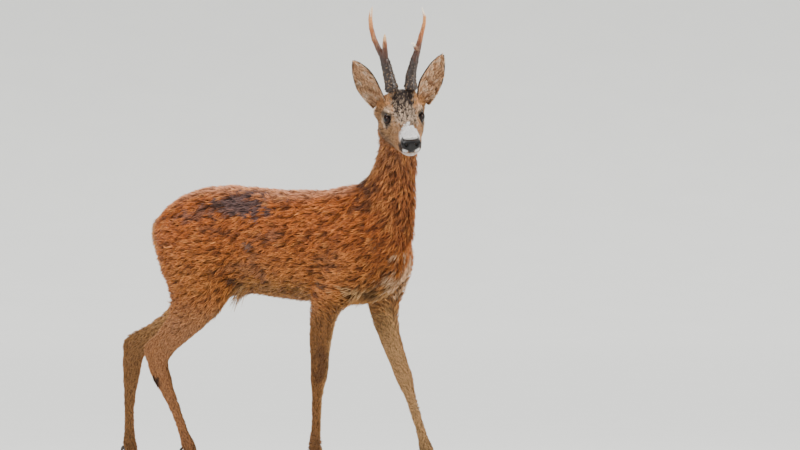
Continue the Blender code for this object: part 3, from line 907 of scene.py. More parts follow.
@dataclass(frozen=True)
class Zone:
    """How hair grows on one region of the skin."""

    length: float
    width: float
    lift: float  # how high the tips stand off the skin
    cover: float  # how many tufts lie over each other
    lock: float  # how many tufts cling together in one lock
    cling: float  # how far their tips draw together, from 0 to 1


ZONES = {name: Zone(*metres(*row[:3]), *row[3:]) for name, row in {
    "trunk": (21.5, 2.2, 6.2, 3.1, 11.0, 0.7),
    "neck": (20, 2, 7, 3.2, 9.0, 0.75),
    "thigh": (18.5, 2, 5.8, 3.0, 9.0, 0.65),
    "leg": (9, 1.2, 2, 2.3, 6.0, 0.35),
    "tail": (15, 1.8, 3, 3.0, 8.0, 0.5),
    "head": (7.8, 1, 2, 2.3, 6.0, 0.5),
    "muzzle": (3.6, 0.7, 0.8, 1.6, 3.0, 0.2),
    "ear": (5, 0.9, 0.6, 1.9, 4.0, 0.2),
    "ear_hollow": (9, 1, 1.8, 1.6, 7.0, 0.7),
}.items()}


def zonal(share: Shares, item: str) -> Array:
    """Blend one of the zones' sizes, a field of Zone, by the zones' shares."""
    return sum(share[name] * getattr(zone, item) for name, zone in ZONES.items())


@dataclass
class Ground:
    """The skin as the hair sees it: regions and directions at every vertex."""

    skin: Piece
    nose_front: float = 0.116  # hair starts out from here, forward of the eyes
    sole: float = 0.034  # and ends at this height, and in these last parts of the tail and the ears
    tail_end: float = 0.016
    ear_end: float = 0.008
    thigh_line: Pair = (0.3, 0.44)  # the heights where thighs' hair starts and is full
    snout: Pair = (0.05, 0.11)  # the same forward of the eyes, for the muzzle's hair
    net: Net = field(init=False)
    normal: Array = field(init=False)
    local: Array = field(init=False)
    share: Shares = field(init=False)
    flow: Array = field(init=False)

    def __post_init__(self) -> None:
        """Work everything out."""
        self.net = Net(self.skin.data)
        self.normal = self.net.normals()
        self.local = HEAD.local(self.net.places)
        self.share = self.shares()
        self.flow = self.lie()

    def shares(self) -> Shares:
        """Share each vertex out among the zones of hair.

        Returns:
            A share from 0 to 1 for each zone, one a vertex, and how near it is to an ear's rim.
        """
        groups = REGIONS | {"ear": EAR_NODES}
        hard = owned(SHELL_NODES + EAR_NODES, groups, self.net.places)
        strength = np.where(hard[:, -1] > 0, 0.15, 0.5)
        soft = dict(zip(groups, self.net.spread(hard, 18, strength).T))
        upper = ramp(self.net.places[:, 2], *self.thigh_line)
        soft["thigh"] = soft["leg"] * upper
        soft["leg"] = soft["leg"] * (1.0 - upper)
        snout = ramp(self.local[:, 0], *self.snout)
        soft["muzzle"] = soft["head"] * snout
        soft["head"] = soft["head"] * (1.0 - snout)
        side = np.sign(self.local[:, 1])
        looks = self.normal @ HEAD.axes
        hollow = ramp(looks[:, 0] * 0.9 + looks[:, 1] * side * 0.3 + looks[:, 2] * 0.15, 0.0, 0.35)
        rim = self.edge_of(hollow, soft["ear"])
        soft["ear_hollow"] = soft["ear"] * hollow
        soft["ear"] = soft["ear"] * (1.0 - hollow)
        total = sum(soft.values())
        return {name: value / total for name, value in soft.items()} | {"rim": rim}

    def edge_of(self, hollow: Array, ear: Array) -> Array:
        """Mark the ears' edges, where their front turns into their back.

        Args:
            hollow: How far each vertex looks forward.
            ear: How much each vertex belongs to an ear.

        Returns:
            One on an edge and zero away from it, one a vertex.
        """
        first, second = self.net.edges.T
        apart = np.abs(hollow[first] - hollow[second]) * (ear[first] > 0.5)
        edge = np.zeros(len(hollow))
        np.maximum.at(edge, first, apart)
        np.maximum.at(edge, second, apart)
        return ramp(self.net.spread(ramp(edge, 0.2, 0.6)[:, None], 9, 0.5)[:, 0], 0.02, 0.14)

    def lie(self) -> Array:
        """Comb the coat: away from the nose, back along the body, and down to the feet.

        Returns:
            A unit tangent a vertex.
        """
        places = self.net.places
        nose = (self.local[:, 0] > self.nose_front) & (self.local[:, 2] < 0.0)
        feet = places[:, 2] < self.sole
        tail = in_box("tail", places, 0.01, 0.01) & (places[:, 2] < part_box("tail")[0][2] + self.tail_end)
        tips = np.zeros(len(places), bool)
        for node in EAR_NODES:
            tips |= in_box(node, places, 0.002, 0.002) & (places[:, 2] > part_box(node)[1][2] - self.ear_end)
        level = settled(self.net, nose | feet | tail | tips, nose * 1.0 + tips * 0.8)
        flow = unit(-slope(self.net, level))
        body = self.share["trunk"] + self.share["thigh"] + 0.3 * self.share["neck"]
        flow += body[:, None] * (-0.25, 0.0, -0.42)
        flow += self.share["leg"][:, None] * (0.0, 0.0, -0.6)
        flow -= self.normal * (flow * self.normal).sum(axis=1, keepdims=True)
        flow = self.net.spread(unit(flow), 14)
        flow -= self.normal * (flow * self.normal).sum(axis=1, keepdims=True)
        return unit(flow)


def settled(net: Net, fixed: Array, values: Array, rounds: int = 1600) -> Array:
    """Find the evenest field over the net that keeps some vertices' values, by conjugate gradients.

    Args:
        net: The skin's net.
        fixed: True where the value stays.
        values: The values that stay, one a vertex.
        rounds: The most steps taken.

    Returns:
        One value a vertex.
    """
    first, second = net.edges.T
    pull = 1.0 / np.maximum(np.linalg.norm(net.places[first] - net.places[second], axis=1), 1e-5)
    count = len(values)
    weight = np.bincount(first, pull, count) + np.bincount(second, pull, count)
    free = ~fixed

    def strain(x: Array) -> Array:
        """How far each free vertex is from its neighbours' balance."""
        flux = pull * (x[first] - x[second])
        return (np.bincount(first, flux, count) - np.bincount(second, flux, count)) * free

    x = np.where(fixed, values, 0.5)
    left = -strain(x)
    eased = left / weight
    step = eased.copy()
    energy = float(left @ eased)
    start = energy
    for _ in range(rounds):
        push = strain(step)
        size = energy / float(step @ push)
        x += size * step
        left -= size * push
        eased = left / weight
        fresh = float(left @ eased)
        if fresh < start * 1e-10:
            break
        step = eased + (fresh / energy) * step
        energy = fresh
    return x


def slope(net: Net, level: Array) -> Array:
    """Work out the direction and steepness in which a field rises.

    Args:
        net: The skin's net.
        level: The field, one value a vertex.

    Returns:
        One tangent vector a vertex.
    """
    a, b, c = net.triangles()
    normal = np.cross(b - a, c - a)
    twice = np.maximum((normal ** 2).sum(axis=1, keepdims=True), 1e-20)
    at_a, at_b, at_c = level[net.corners.T, None]
    rise = np.cross(normal, (c - b) * at_a + (a - c) * at_b + (b - a) * at_c) / twice
    return net.gathered(rise * np.sqrt(twice))


# --- Markings ---

def blend(base: Array | str, colour: Array | str, share: Array | float) -> Array:
    """Mix one colour into another.

    Args:
        base: Linear colours, one a row, or an sRGB hex value.
        colour: What is mixed in, in the same way.
        share: How much of it, for all or for each row.

    Returns:
        The mixed colours.
    """
    part = np.asarray(share, float).reshape(-1, 1)
    base, colour = (linear(tone) if isinstance(tone, str) else tone for tone in (base, colour))
    return base * (1.0 - part) + colour * part


def layered(base: Array | str, *layers: tuple[Array | str, Array | float]) -> Array:
    """Lay colours over a base one after another, each with its share.

    Args:
        base: Linear colours, one a row, or an sRGB hex value.
        layers: Each layer's colour and its share.

    Returns:
        The mixed colours.
    """
    for colour, share in layers:
        base = blend(base, colour, share)
    return base


@dataclass(frozen=True)
class Patch:
    """A ragged patch on the body: other hair, painted shade in a crease, or painted light on a lit leg."""

    place: Triple
    reach: Triple
    colour: str
    strength: float = 1.0
    ragged: float = 0.35

    def share(self, places: Array) -> Array:
        """How much of each place the patch covers.

        Args:
            places: World points.

        Returns:
            One share a point.
        """
        away = np.linalg.norm((places - self.place) / self.reach, axis=1)
        edge = away + self.ragged * (Waves(0.03, 71).at(places) + 0.6 * Waves(0.011, 72).at(places))
        return self.strength * ramp(edge, 1.15, 0.75)


@dataclass(frozen=True)
class Markings:
    """The colours of the coat, which skin and tufts share, with some light and shade painted in."""

    rufous: str = "#C66C2C"
    ember: str = "#6E3614"
    glow: str = "#E89A52"
    flank: str = "#BE7434"
    belly: str = "#8F6838"
    brisket: str = "#B08450"
    buff: str = "#D6A96C"
    leg_outside: str = "#946438"
    leg_inside: str = "#C99C6A"
    # the hind legs: painted light on their outer faces and painted shade on their inner ones
    hind_lit_outside: str = "#B67C50"
    hind_shaded_inside: str = "#9A6C40"
    # pale: painted light, laid on the upward-facing hair of the trunk where light from above falls
    pale: str = "#F4B086"
    soot: str = "#2A1B14"
    brow: str = "#CF9560"
    cheek: str = "#AE8156"
    muzzle: str = "#B27F52"
    grizzle: str = "#CDB196"
    dark_speck: str = "#2B1B14"
    ring: str = "#E6C6A6"
    white: str = "#FBF8F6"
    throat: str = "#8E6A4A"
    ear_back: str = "#7E532A"
    ear_lining: str = "#E8B78C"
    ear_shade: str = "#7A4526"
    ear_light: str = "#FBE2C6"
    ear_tip: str = "#5A3A22"
    mid_plane: float = 0.0368  # the trunk's middle, as a Y
    patches: tuple[Patch, ...] = tuple(
        Patch(metres(*place), metres(*reach), *look) for place, reach, *look in (
        ((-42, -26, 650), (86, 60, 26), "#6E504A", 1.0, 0.42),
        ((-160, -36, 630), (56, 60, 18), "#80584A", 0.75, 0.55),
        ((-116, -40, 592), (34, 50, 15), "#6B4A3A", 0.55, 0.7),
        ((-22, -51, 557), (12, 40, 9), "#70594F", 0.9, 0.3),
        ((45, -50, 575), (26, 40, 12), "#7A5747", 0.5, 0.7),
        ((-20, -45, 505), (60, 40, 22), "#8A5E42", 0.5, 0.7),
        ((200, -52, 520), (28, 40, 20), "#6E4A36", 0.45, 0.8),
        ((-80, 105, 640), (65, 60, 24), "#64504C", 0.95, 0.5),
        ((-185, 110, 610), (40, 60, 16), "#6B524A", 0.8, 0.6),
        ((40, 122, 560), (22, 40, 12), "#7A5747", 0.6, 0.7),
        ((205, 30, 706), (26, 30, 12), "#7A3F1C", 0.8, 0.4),
        ((262, 14, 715), (14, 30, 50), "#3A2018", 0.85, 0.6),
        ((282, -2, 680), (14, 30, 40), "#45271A", 0.65, 0.8),
        ((250, -10, 650), (12, 30, 20), "#5A3420", 0.6, 0.8),
        # painted shade in the fold of the groin
        ((-78, -20, 470), (10, 40, 8), "#33231C", 0.85, 0.3),
        # painted shade in the crease of the armpit
        ((190, -54, 452), (18, 40, 10), "#3B271B", 0.8, 0.5),
        # painted shade in the hollow between the forelegs
        ((276, 4, 446), (30, 24, 18), "#4A3320", 0.75, 0.5),
        # painted shade in the parting of the breast
        ((316, -4, 470), (10, 20, 24), "#5A3A1E", 0.6, 0.5),
        ((262, -42, 448), (28, 40, 9), "#CDA270", 0.75, 0.6),
        # the breast's pale hair, widened down the far foreleg's front as painted light from the side
        ((332, 66, 462), (36, 50, 64), "#E0B890", 0.75, 0.6),
        ((-62, -6, 450), (16, 22, 12), "#B98C5C", 0.8, 0.4),
        ((-294, -46, 231), (13, 18, 15), "#2C1C1A", 0.95, 0.3),
        ((-455, 125, 225), (14, 30, 13), "#2C1C1A", 0.9, 0.3),
        ((165, -50, 258), (30, 40, 40), "#54341F", 0.6, 0.4),
    ))

    def body(self, places: Array, normal: Array, share: Shares) -> Array:
        """Colour trunk, neck, tail and legs.

        Args:
            places: World points.
            normal: The skin's outward normals there.
            share: The zones' shares there.

        Returns:
            Linear colours, one a row.
        """
        x, y, z = places.T
        ahead, aside, up = normal.T
        torso = share["trunk"] + share["thigh"]
        middle = ramp(np.abs(y - self.mid_plane), 0.07, 0.02)
        behind = ramp(ahead, -0.55, -0.85) * ramp(z, 0.66, 0.6) * ramp(x, -0.2, -0.28)
        front = ramp(ahead - 0.4 * aside, 0.55, 1.05) * np.clip(share["neck"] + share["trunk"], 0, 1)
        inward = -np.sign(y - self.mid_plane) * aside
        hind = ramp(x, 0.05, -0.05)
        # on the hind legs the outer faces are painted lighter and the inner faces darker: painted light and
        # shade
        leg = blend(blend(self.leg_outside, self.hind_lit_outside, hind),
                    blend(self.leg_inside, self.hind_shaded_inside, hind), ramp(inward + 0.35 * ahead, -0.35, 0.75))
        leg = leg * (1.0 - 0.3 * ramp(z, 0.13, 0.04)[:, None])
        return layered(
            self.rufous,
            (self.flank, ramp(z, 0.6, 0.47) * 0.8),
            # painted light: the top of the back made paler, as where light from above falls
            (self.pale, 0.65 * ramp(up, 0.6, 0.95) * ramp(z, 0.58, 0.66) * share["trunk"]),
            (self.belly, 0.75 * (ramp(up, -0.25, -0.75) * torso)),
            (self.brisket, 0.8 * (ramp(x, 0.22, 0.3) * ramp(z, 0.475, 0.435) * share["trunk"])),
            (self.buff, 0.3 * behind),
            (self.buff, 0.6 * middle * ramp(ahead, -0.5, -0.8) * ramp(z, 0.42, 0.48)),
            (self.throat, share["neck"] * (0.3 + 0.35 * ramp(z, 0.66, 0.8))),
            (self.ember, 0.45 * front),
            (leg, share["leg"] + share["thigh"] * ramp(z, 0.46, 0.34)),
            (self.buff, 0.5 * (share["thigh"] * ramp(inward, 0.2, 0.8))),
            *((patch.colour, patch.share(places)) for patch in self.patches))

    def face(self, local: Array, normal: Array, dice: Array) -> Array:
        """Colour the head, in the head's own frame.

        Args:
            local: Head-frame points.
            normal: The skin's outward normals there, in the head's frame.
            dice: Scatters the light and dark hairs of the grizzled forehead, evenly from 0 to 1.

        Returns:
            Linear colours, one a row.
        """
        x, y, z = local.T
        wide = np.abs(y)
        ring, lash = np.zeros(len(local)), np.zeros(len(local))
        for far, oval in eye_ovals(local):
            lash = np.maximum(lash, ramp(oval, 1.42, 1.28) * ramp(far, 0.03, 0.022))
            ring = np.maximum(ring, ramp(oval, 2.15, 1.55) * ramp(far, 0.03, 0.022))
        colour = layered(
            self.cheek,
            (self.throat, ramp(z + 0.25 * x, -0.03, -0.055)),
            (self.brow, ramp(z - 0.15 * x, 0.006, 0.022) * ramp(wide, 0.012, 0.024)),
            (self.muzzle, ramp(x, 0.05, 0.085) * 0.8),
            (self.ring, 0.85 * ring),
            (self.soot, 0.8 * lash))
        crown = ramp(z, 0.026, 0.046)
        ragged = 0.004 * Waves(0.018, 6).at(local) + 0.012 * (dice - 0.5)
        band = 0.0265 - 0.005 * ramp(x, 0.03, 0.07) + ragged
        mask = ramp(wide - band, 0.003, -0.003) * ramp(z + 0.32 * x, -0.004, 0.012) * (1.0 - 0.8 * ring)
        mask *= ramp(x + ragged, 0.084, 0.066)
        dark = dice < 0.42 + 0.2 * ramp(x, 0.06, 0.025) + 0.2 * crown
        pale = linear(self.grizzle) * (1.0 - 0.45 * crown[:, None])
        speck = np.where(dark[:, None], linear(self.dark_speck), pale)
        colour = blend(colour, speck, mask)
        fleck = np.where(dice > 0.78, 0.42, np.where(dice < 0.16, 1.45, 1.0))
        colour = colour * (1.0 + (fleck - 1.0) * (1.0 - mask))[:, None]
        edge = 0.0735 + 0.8 * wide + 0.004 * Waves(0.01, 5).at(local) + 0.014 * (dice - 0.5)
        top = ramp(x - edge, -0.003, 0.003) * ramp(wide, 0.0255, 0.0205) * ramp(normal[:, 2], 0.05, 0.35)
        lip = ramp(x, 0.096, 0.108) * ramp(z, -0.021, -0.029) * ramp(z, -0.048, -0.042)
        spot = ramp(x, 0.105, 0.11) * ramp(np.abs(z + 0.0385), 0.005, 0.0036)
        spot *= ramp(np.abs(wide - 0.0135), 0.0062, 0.0046)
        chin = ramp(z + 0.1 * x, -0.0315, -0.0345) * ramp(x, 0.088, 0.1) * ramp(wide, 0.022, 0.016)
        return layered(
            colour,
            (self.white, top),
            (self.soot, 0.92 * lip * ramp(wide, 0.01, 0.016)),
            (self.white, spot),
            (self.white, 0.65 * chin))

    def colours(self, places: Array, normal: Array, share: Shares,
                dice: Array) -> Array:
        """Colour any points of the coat.

        Args:
            places: World points on the skin.
            normal: Outward normals there.
            share: The zones' shares there.
            dice: Scatters single locks' colours, evenly from 0 to 1.

        Returns:
            Linear colours, one a row.
        """
        local, looks = HEAD.local(places), normal @ HEAD.axes
        head = ramp(share["head"] + share["muzzle"] + share["ear"] + share["ear_hollow"], 0.25, 0.75)
        ear = share["ear"] + share["ear_hollow"]
        hollow = share["ear_hollow"] / np.maximum(ear, 1e-6)
        fold = 0.75 * Waves(0.02, 31).at(local) + 0.45 * Waves(0.008, 32).at(local) + 0.7 * (dice - 0.5)
        up = local[:, 2]
        pinna = layered(
            self.ear_back,
            (self.ear_lining, hollow),
            (self.ear_shade, 0.75 * hollow * ramp(fold, 0.1, 0.8)),
            (self.ear_light, 0.7 * hollow * ramp(fold, -0.15, -0.8)),
            (self.ear_tip, 0.5 * (1.0 - hollow) * ramp(up, 0.07, 0.12)),
            (self.soot, 0.95 * ramp(share["rim"], 0.3, 0.75) * ramp(up, 0.03, 0.055)))
        return layered(self.body(places, normal, share), (self.face(local, looks, dice), head),
                       (pinna, ramp(ear, 0.35, 0.8)))


# --- The coat ---

@dataclass
class Roots:
    """Where tufts grow, and all that each of them needs to know there."""

    place: Array
    normal: Array
    flow: Array
    chart: Array
    share: Shares
    heart: Array | None = None  # the middle of the lock that each tuft clings to
    luck: Array | None = None  # the lock's own chances: one even, two normal

    def pick(self, chosen: Array) -> "Roots":
        """Keep only some of the roots.

        Args:
            chosen: Their indices.

        Returns:
            A new set of roots.
        """
        share = {name: value[chosen] for name, value in self.share.items()}
        return Roots(self.place[chosen], self.normal[chosen], self.flow[chosen], self.chart[chosen], share,
                     self.heart[chosen], self.luck[chosen])

    def size(self, item: str) -> Array:
        """Blend one of the zones' sizes at each root."""
        return zonal(self.share, item)


@dataclass(frozen=True)
class Fringe:
    """A place where the hair grows long, and stands off or hangs down."""

    place: Triple
    reach: Triple
    longer: float  # how many times as long it grows
    stand: float = 0.0  # how much further the tips stand off the skin
    droop: float = 0.0  # how far the tips hang straight down

    def share(self, places: Array) -> Array:
        """How much each place belongs to the fringe."""
        return bell(places, self.place, self.reach)


FRINGES = tuple(
    Fringe(metres(*place), metres(*reach), longer, *metres(*hang)) for place, reach, longer, *hang in (
    ((-62, -4, 450), (16, 26, 14), 2.4, 4, 48),  # brush under the belly
    ((60, 35, 440), (110, 50, 16), 1.0, 1, 5),  # belly line
    ((272, 6, 440), (34, 50, 12), 1.4, 4, 12),  # brisket
    ((218, -52, 458), (18, 30, 18), 1.4, 6),  # armpits
    ((336, 34, 472), (20, 30, 26), 1.4, 6),
    ((-325, 15, 560), (30, 60, 60), 1.2, 4),  # rump
    ((-275, -20, 470), (30, 50, 50), 1.25, 6),
    ((205, 30, 706), (22, 24, 14), 1.2, 10),  # withers
    ((262, 18, 715), (18, 24, 48), 1.2, 10),  # back of the neck
    ((317, -18, 868), (22, 24, 18), 1.6, 3),  # feet of the ears
    ((398, 36, 878), (20, 22, 18), 1.5, 3),
    ((-294, -46, 231), (14, 20, 14), 1.6, 3),  # glands on the shanks
    ((-455, 125, 225), (14, 30, 14), 1.6, 3),
))


@dataclass
class Coat:
    """The hair: solid tapered tufts, three-sided, that lie along the skin like shingles."""

    ground: Ground
    markings: Markings
    tufts: int = 146_000
    sunk: float = 0.0008  # how deep a tuft is rooted in the skin
    piece_limit: int = 19_500  # tufts in one piece of the coat
    apart: float = 0.006  # how far roots are raised to tell locks on two sides of a fold apart
    claw_line: float = 0.0245  # the height at which hair ends above the claws
    seed: int = 9

    def thickness(self) -> Array:
        """How densely hair grows on the skin.

        Returns:
            Tufts a square metre, one value a vertex.
        """
        cover, length, width = (zonal(self.ground.share, item) for item in ("cover", "length", "width"))
        bare = (NosePad().behind(self.ground.local) > 0.5) | (self.ground.net.places[:, 2] < self.claw_line)
        for far, oval in eye_ovals(self.ground.local):
            bare |= (oval < 1.16) & (far < 0.02)
        return np.where(bare, 0.0, cover / (0.5 * length * width))

    def sow(self) -> Roots:
        """Scatter the roots evenly, as thick as each zone asks.

        Returns:
            All the roots.
        """
        ground, net = self.ground, self.ground.net
        rng = np.random.default_rng(self.seed)
        a, b, c = net.triangles()
        area = np.linalg.norm(np.cross(b - a, c - a), axis=1) / 2.0
        wanted = area * self.thickness()[net.corners].mean(axis=1)
        LOG.info("coat: %.2f square metres of skin, %d tufts wanted", area.sum(), wanted.sum())
        total = np.cumsum(wanted)
        marks = (np.arange(self.tufts) + rng.uniform(size=self.tufts)) / self.tufts * total[-1]
        chosen = np.minimum(np.searchsorted(total, marks), len(total) - 1)
        u, v = rng.uniform(size=(2, self.tufts))
        over = u + v > 1.0
        u, v = np.where(over, 1.0 - u, u), np.where(over, 1.0 - v, v)
        weight = np.stack((1.0 - u - v, u, v), 1)
        corners = net.corners[chosen]

        def mixed(values: Array, at: Array = corners) -> Array:
            """Read a field of vertices, or of other corners, at every root."""
            picked = values[at]
            return (picked * weight.reshape(weight.shape + (1,) * (picked.ndim - 2))).sum(axis=1)

        chart = mixed(chart_of(ground.skin), net.read("loop_triangles", "loops", 3, np.int32)[chosen])
        share = {name: mixed(value) for name, value in ground.share.items()}
        roots = Roots(mixed(net.places), unit(mixed(ground.normal)), unit(mixed(ground.flow)), chart, share)
        hearts = np.flatnonzero(rng.uniform(size=self.tufts) < 1.0 / roots.size("lock"))
        raised = roots.place + roots.normal * self.apart
        tree = KDTree(len(hearts))
        for k, index in enumerate(hearts):
            tree.insert(raised[index], k)
        tree.balance()
        lock = np.array([tree.find(place)[1] for place in raised])
        luck = np.column_stack((rng.uniform(size=len(hearts)), rng.normal(size=(len(hearts), 2))))
        roots.heart, roots.luck = roots.place[hearts][lock], luck[lock]
        return roots

    def part_of(self, roots: Roots) -> Shares:
        """Sort the roots into pieces of the coat.

        Args:
            roots: All the roots.

        Returns:
            Each piece's name and the indices of its roots.
        """
        regions = {"trunk": ("trunk", "tail"), "neck": ("neck",), "legs": ("leg", "thigh"),
                   "head": ("head", "muzzle"), "ears": ("ear", "ear_hollow")}
        weight = np.stack([sum(roots.share[n] for n in names) for names in regions.values()], 1)
        region = weight.argmax(axis=1)
        parts = {}
        for k, name in enumerate(regions):
            inside = np.flatnonzero(region == k)
            order = inside[np.argsort(roots.place[inside] @ (1.0, 0.2, -0.1), kind="stable")]
            count = max(1, math.ceil(len(order) / self.piece_limit))
            for number, chunk in enumerate(np.array_split(order, count), 1):
                parts[f"coat_{name}_{number}"] = chunk
        return parts

    @staticmethod
    def in_lock(roots: Roots, side: Array) -> tuple[Array, Array]:
        """Find each tuft's place in its lock.

        Args:
            roots: The roots.
            side: Each tuft's sideways direction.

        Returns:
            How far the lock's middle line lies to the side, and how near the tuft is to the lock's edge,
            from 0 on that line to 1.
        """
        aside = ((roots.heart - roots.place) * side).sum(axis=1)
        area = roots.size("lock") * 0.5 * roots.size("length") * roots.size("width") / roots.size("cover")
        return aside, np.clip(np.abs(aside) / np.sqrt(area / math.pi), 0.0, 1.0)

    def shape(self, roots: Roots, rng: np.random.Generator) -> Array:
        """Work out the corners of every tuft.

        Args:
            roots: The roots of one piece.
            rng: The piece's own chance.

        Returns:
            Seven corners a tuft.
        """
        count = len(roots.place)
        smooth = 1.0 - roots.share["head"] - roots.share["muzzle"]
        turn = (0.24 * Waves(0.055, 11).at(roots.place) + 0.2 * Waves(0.02, 12).at(roots.place)) * smooth
        turn += 0.13 * rng.normal(size=count) + 0.15 * roots.luck[:, 1] * smooth
        side = np.cross(roots.normal, roots.flow)
        ahead = roots.flow * np.cos(turn)[:, None] + side * np.sin(turn)[:, None]
        side = np.cross(roots.normal, ahead)
        aside, edge = self.in_lock(roots, side)
        ruffle = 0.26 * Waves(0.016, 13).at(roots.place) + 0.2 * Waves(0.045, 14).at(roots.place)
        length = roots.size("length") * np.clip(1.0 + 0.18 * rng.normal(size=count), 0.55, 1.5)
        lift = roots.size("lift") * np.clip(1.16 - 0.55 * edge ** 2 + ruffle + 0.18 * rng.normal(size=count),
                                            0.15, 2.0)
        width = roots.size("width") * np.clip(1.0 + 0.22 * rng.normal(size=count), 0.5, 1.6)
        length *= 1.0 - 0.62 * roots.share["rim"]
        lift *= 1.0 - 0.75 * roots.share["rim"]
        hang = np.zeros(count)
        for fringe in FRINGES:
            share = fringe.share(roots.place)
            length *= 1.0 + (fringe.longer - 1.0) * share
            lift += fringe.stand * share * rng.uniform(0.3, 1.3, count)
            hang += fringe.droop * share * rng.uniform(0.5, 1.2, count)
        bend = 0.12 * rng.normal(size=count) * length
        draw = roots.size("cling") * aside

        def ring(t: float, rise: float, wide: float, deep: float) -> list[Array]:
            """Three corners round the tuft at one place along it.

            Args:
                t: The place, from 0 at the foot to 1 at the tip.
                rise: The share of the full lift there.
                wide: The share of the full width.
                deep: How far the corners are sunk in the skin.

            Returns:
                The corners, each one row a tuft.
            """
            centre = (roots.place + ahead * (length * t)[:, None] + side * (bend * t * t + draw * t)[:, None]
                      + roots.normal * (lift * rise - deep)[:, None])
            centre[:, 2] -= hang * t * t
            half = side * (width * wide / 2.0)[:, None]
            return [centre - half, centre + half, centre + roots.normal * (width * wide * 0.42)[:, None]]

        foot = ring(0.0, 0.0, 0.8, self.sunk)
        waist = ring(0.5, 0.72, 1.0, 0.0)
        tip = ring(1.0, 1.0, 0.0, 0.0)[:1]
        return np.stack(foot + waist + tip, 1)

    def piece(self, name: str, roots: Roots, finish: Finish) -> Piece:
        """Make one piece of the coat.

        Args:
            name: The piece's name.
            roots: Its roots.
            finish: The hair's material.

        Returns:
            The piece.
        """
        rng = np.random.default_rng([self.seed, len(roots.place)])
        corners = self.shape(roots, rng)
        count = len(corners)
        faces = ((0, 1, 4, 3), (1, 2, 5, 4), (2, 0, 3, 5), (3, 4, 6), (4, 5, 6), (5, 3, 6), (0, 2, 1))
        loop = np.concatenate(faces)
        sizes = np.array([len(f) for f in faces])
        first = np.arange(count, dtype=np.int64)[:, None]
        mesh = bpy.data.meshes.new(name)
        mesh.vertices.add(7 * count)
        mesh.vertices.foreach_set("co", corners.astype(np.float32).ravel())
        mesh.loops.add(len(loop) * count)
        mesh.loops.foreach_set("vertex_index", (first * 7 + loop).astype(np.int32).ravel())
        mesh.polygons.add(len(faces) * count)
        starts = np.concatenate(([0], np.cumsum(sizes)[:-1]))
        mesh.polygons.foreach_set("loop_start", (first * len(loop) + starts).astype(np.int32).ravel())
        mesh.polygons.foreach_set("use_smooth", np.ones(len(faces) * count, bool))
        across = np.array((-1.0, 1.0, 0.0, -1.0, 1.0, 0.0, 0.0))[loop]
        along = np.array((0.0, 0.0, 0.0, 0.5, 0.5, 0.5, 1.0))[loop]
        patch = np.stack((across, 2.0 * along - 1.0), 1) * PATCH / 2.0
        offset = rng.uniform(0.0, 40.0, (count, 1, 1)) * (1.0, 0.0)
        for layer, places in ((BAKE_MAP, roots.chart[:, None, :] + patch),
                              (STRAND_MAP, offset + np.stack((across / 2.0, along), 1))):
            chart = mesh.uv_layers.new(name=layer)
            chart.data.foreach_set("uv", places.astype(np.float32).ravel())
        tinted(mesh, np.repeat(self.shades(roots, rng), 7, axis=0))
        mesh.update()
        mesh.validate()
        mesh.materials.append(finish)
        return object_from(name, mesh)

    def shades(self, roots: Roots, rng: np.random.Generator) -> Array:
        """Give each tuft its own tone of the coat's colour there, darker towards its lock's edge as painted
        shade.

        Args:
            roots: The roots of one piece.
            rng: The piece's own chance.

        Returns:
            Linear colours, one a tuft.
        """
        count = len(roots.place)
        own = rng.uniform(size=count)
        dice = np.where(own < 0.25, own * 4.0, roots.luck[:, 0])
        colour = self.markings.colours(0.4 * roots.place + 0.6 * roots.heart, roots.normal, roots.share, dice)
        vivid = roots.share["trunk"] + roots.share["thigh"] + roots.share["neck"]
        drift = 0.35 * Waves(0.014, 21).at(roots.place) + 0.35 * Waves(0.05, 22).at(roots.place)
        drift += 0.5 * roots.luck[:, 2] + 0.25 * rng.normal(size=count)
        # Every patch holds back the random warm swing: the winter hair and glands, and the painted shade and
        # light too.
        patch_cover = sum(patch.share(roots.place) for patch in self.markings.patches)
        swing = vivid * np.clip(1.0 - patch_cover, 0.0, 1.0)
        colour = layered(colour, (self.markings.glow, 0.5 * swing * ramp(drift, 0.1, 1.3)),
                         (self.markings.ember, 0.7 * swing * ramp(drift, -0.1, -1.2)))
        # Tufts towards the edge of their lock are darker: painted shade in the gaps between locks.
        side = np.cross(roots.normal, roots.flow)
        edge = self.in_lock(roots, side)[1]
        deep = 1.12 - (0.2 + 0.3 * vivid) * edge ** 1.5
        return colour * (deep * np.exp(0.13 * rng.normal(size=count)))[:, None]

    def build(self, finish: Finish) -> list[Piece]:
        """Grow the whole coat.

        Args:
            finish: The hair's material.

        Returns:
            The coat's pieces.
        """
        roots = self.sow()
        pieces = []
        for name, chosen in self.part_of(roots).items():
            pieces.append(self.piece(name, roots.pick(chosen), finish))
            LOG.info("%s: %d tufts", name, len(chosen))
        return pieces


def chart_of(skin: Piece) -> Array:
    """Read the skin's unwrap.

    Args:
        skin: The skin.

    Returns:
        One place a loop.
    """
    layer = skin.data.uv_layers[BAKE_MAP]
    values = np.empty(len(layer.data) * 2, np.float32)
    layer.data.foreach_get("uv", values)
    return values.reshape(-1, 2).astype(float)


def unwrapped(skin: Piece) -> None:
    """Unwrap the skin's own shape onto the bake map.

    Args:
        skin: The skin.
    """
    skin.data.uv_layers.new(name=BAKE_MAP)
    bpy.context.view_layer.objects.active = skin
    skin.select_set(True)
    bpy.ops.object.mode_set(mode="EDIT")
    bpy.ops.mesh.select_all(action="SELECT")
    bpy.ops.uv.smart_project(angle_limit=math.radians(66.0), island_margin=0.001)
    bpy.ops.object.mode_set(mode="OBJECT")
    skin.select_set(False)


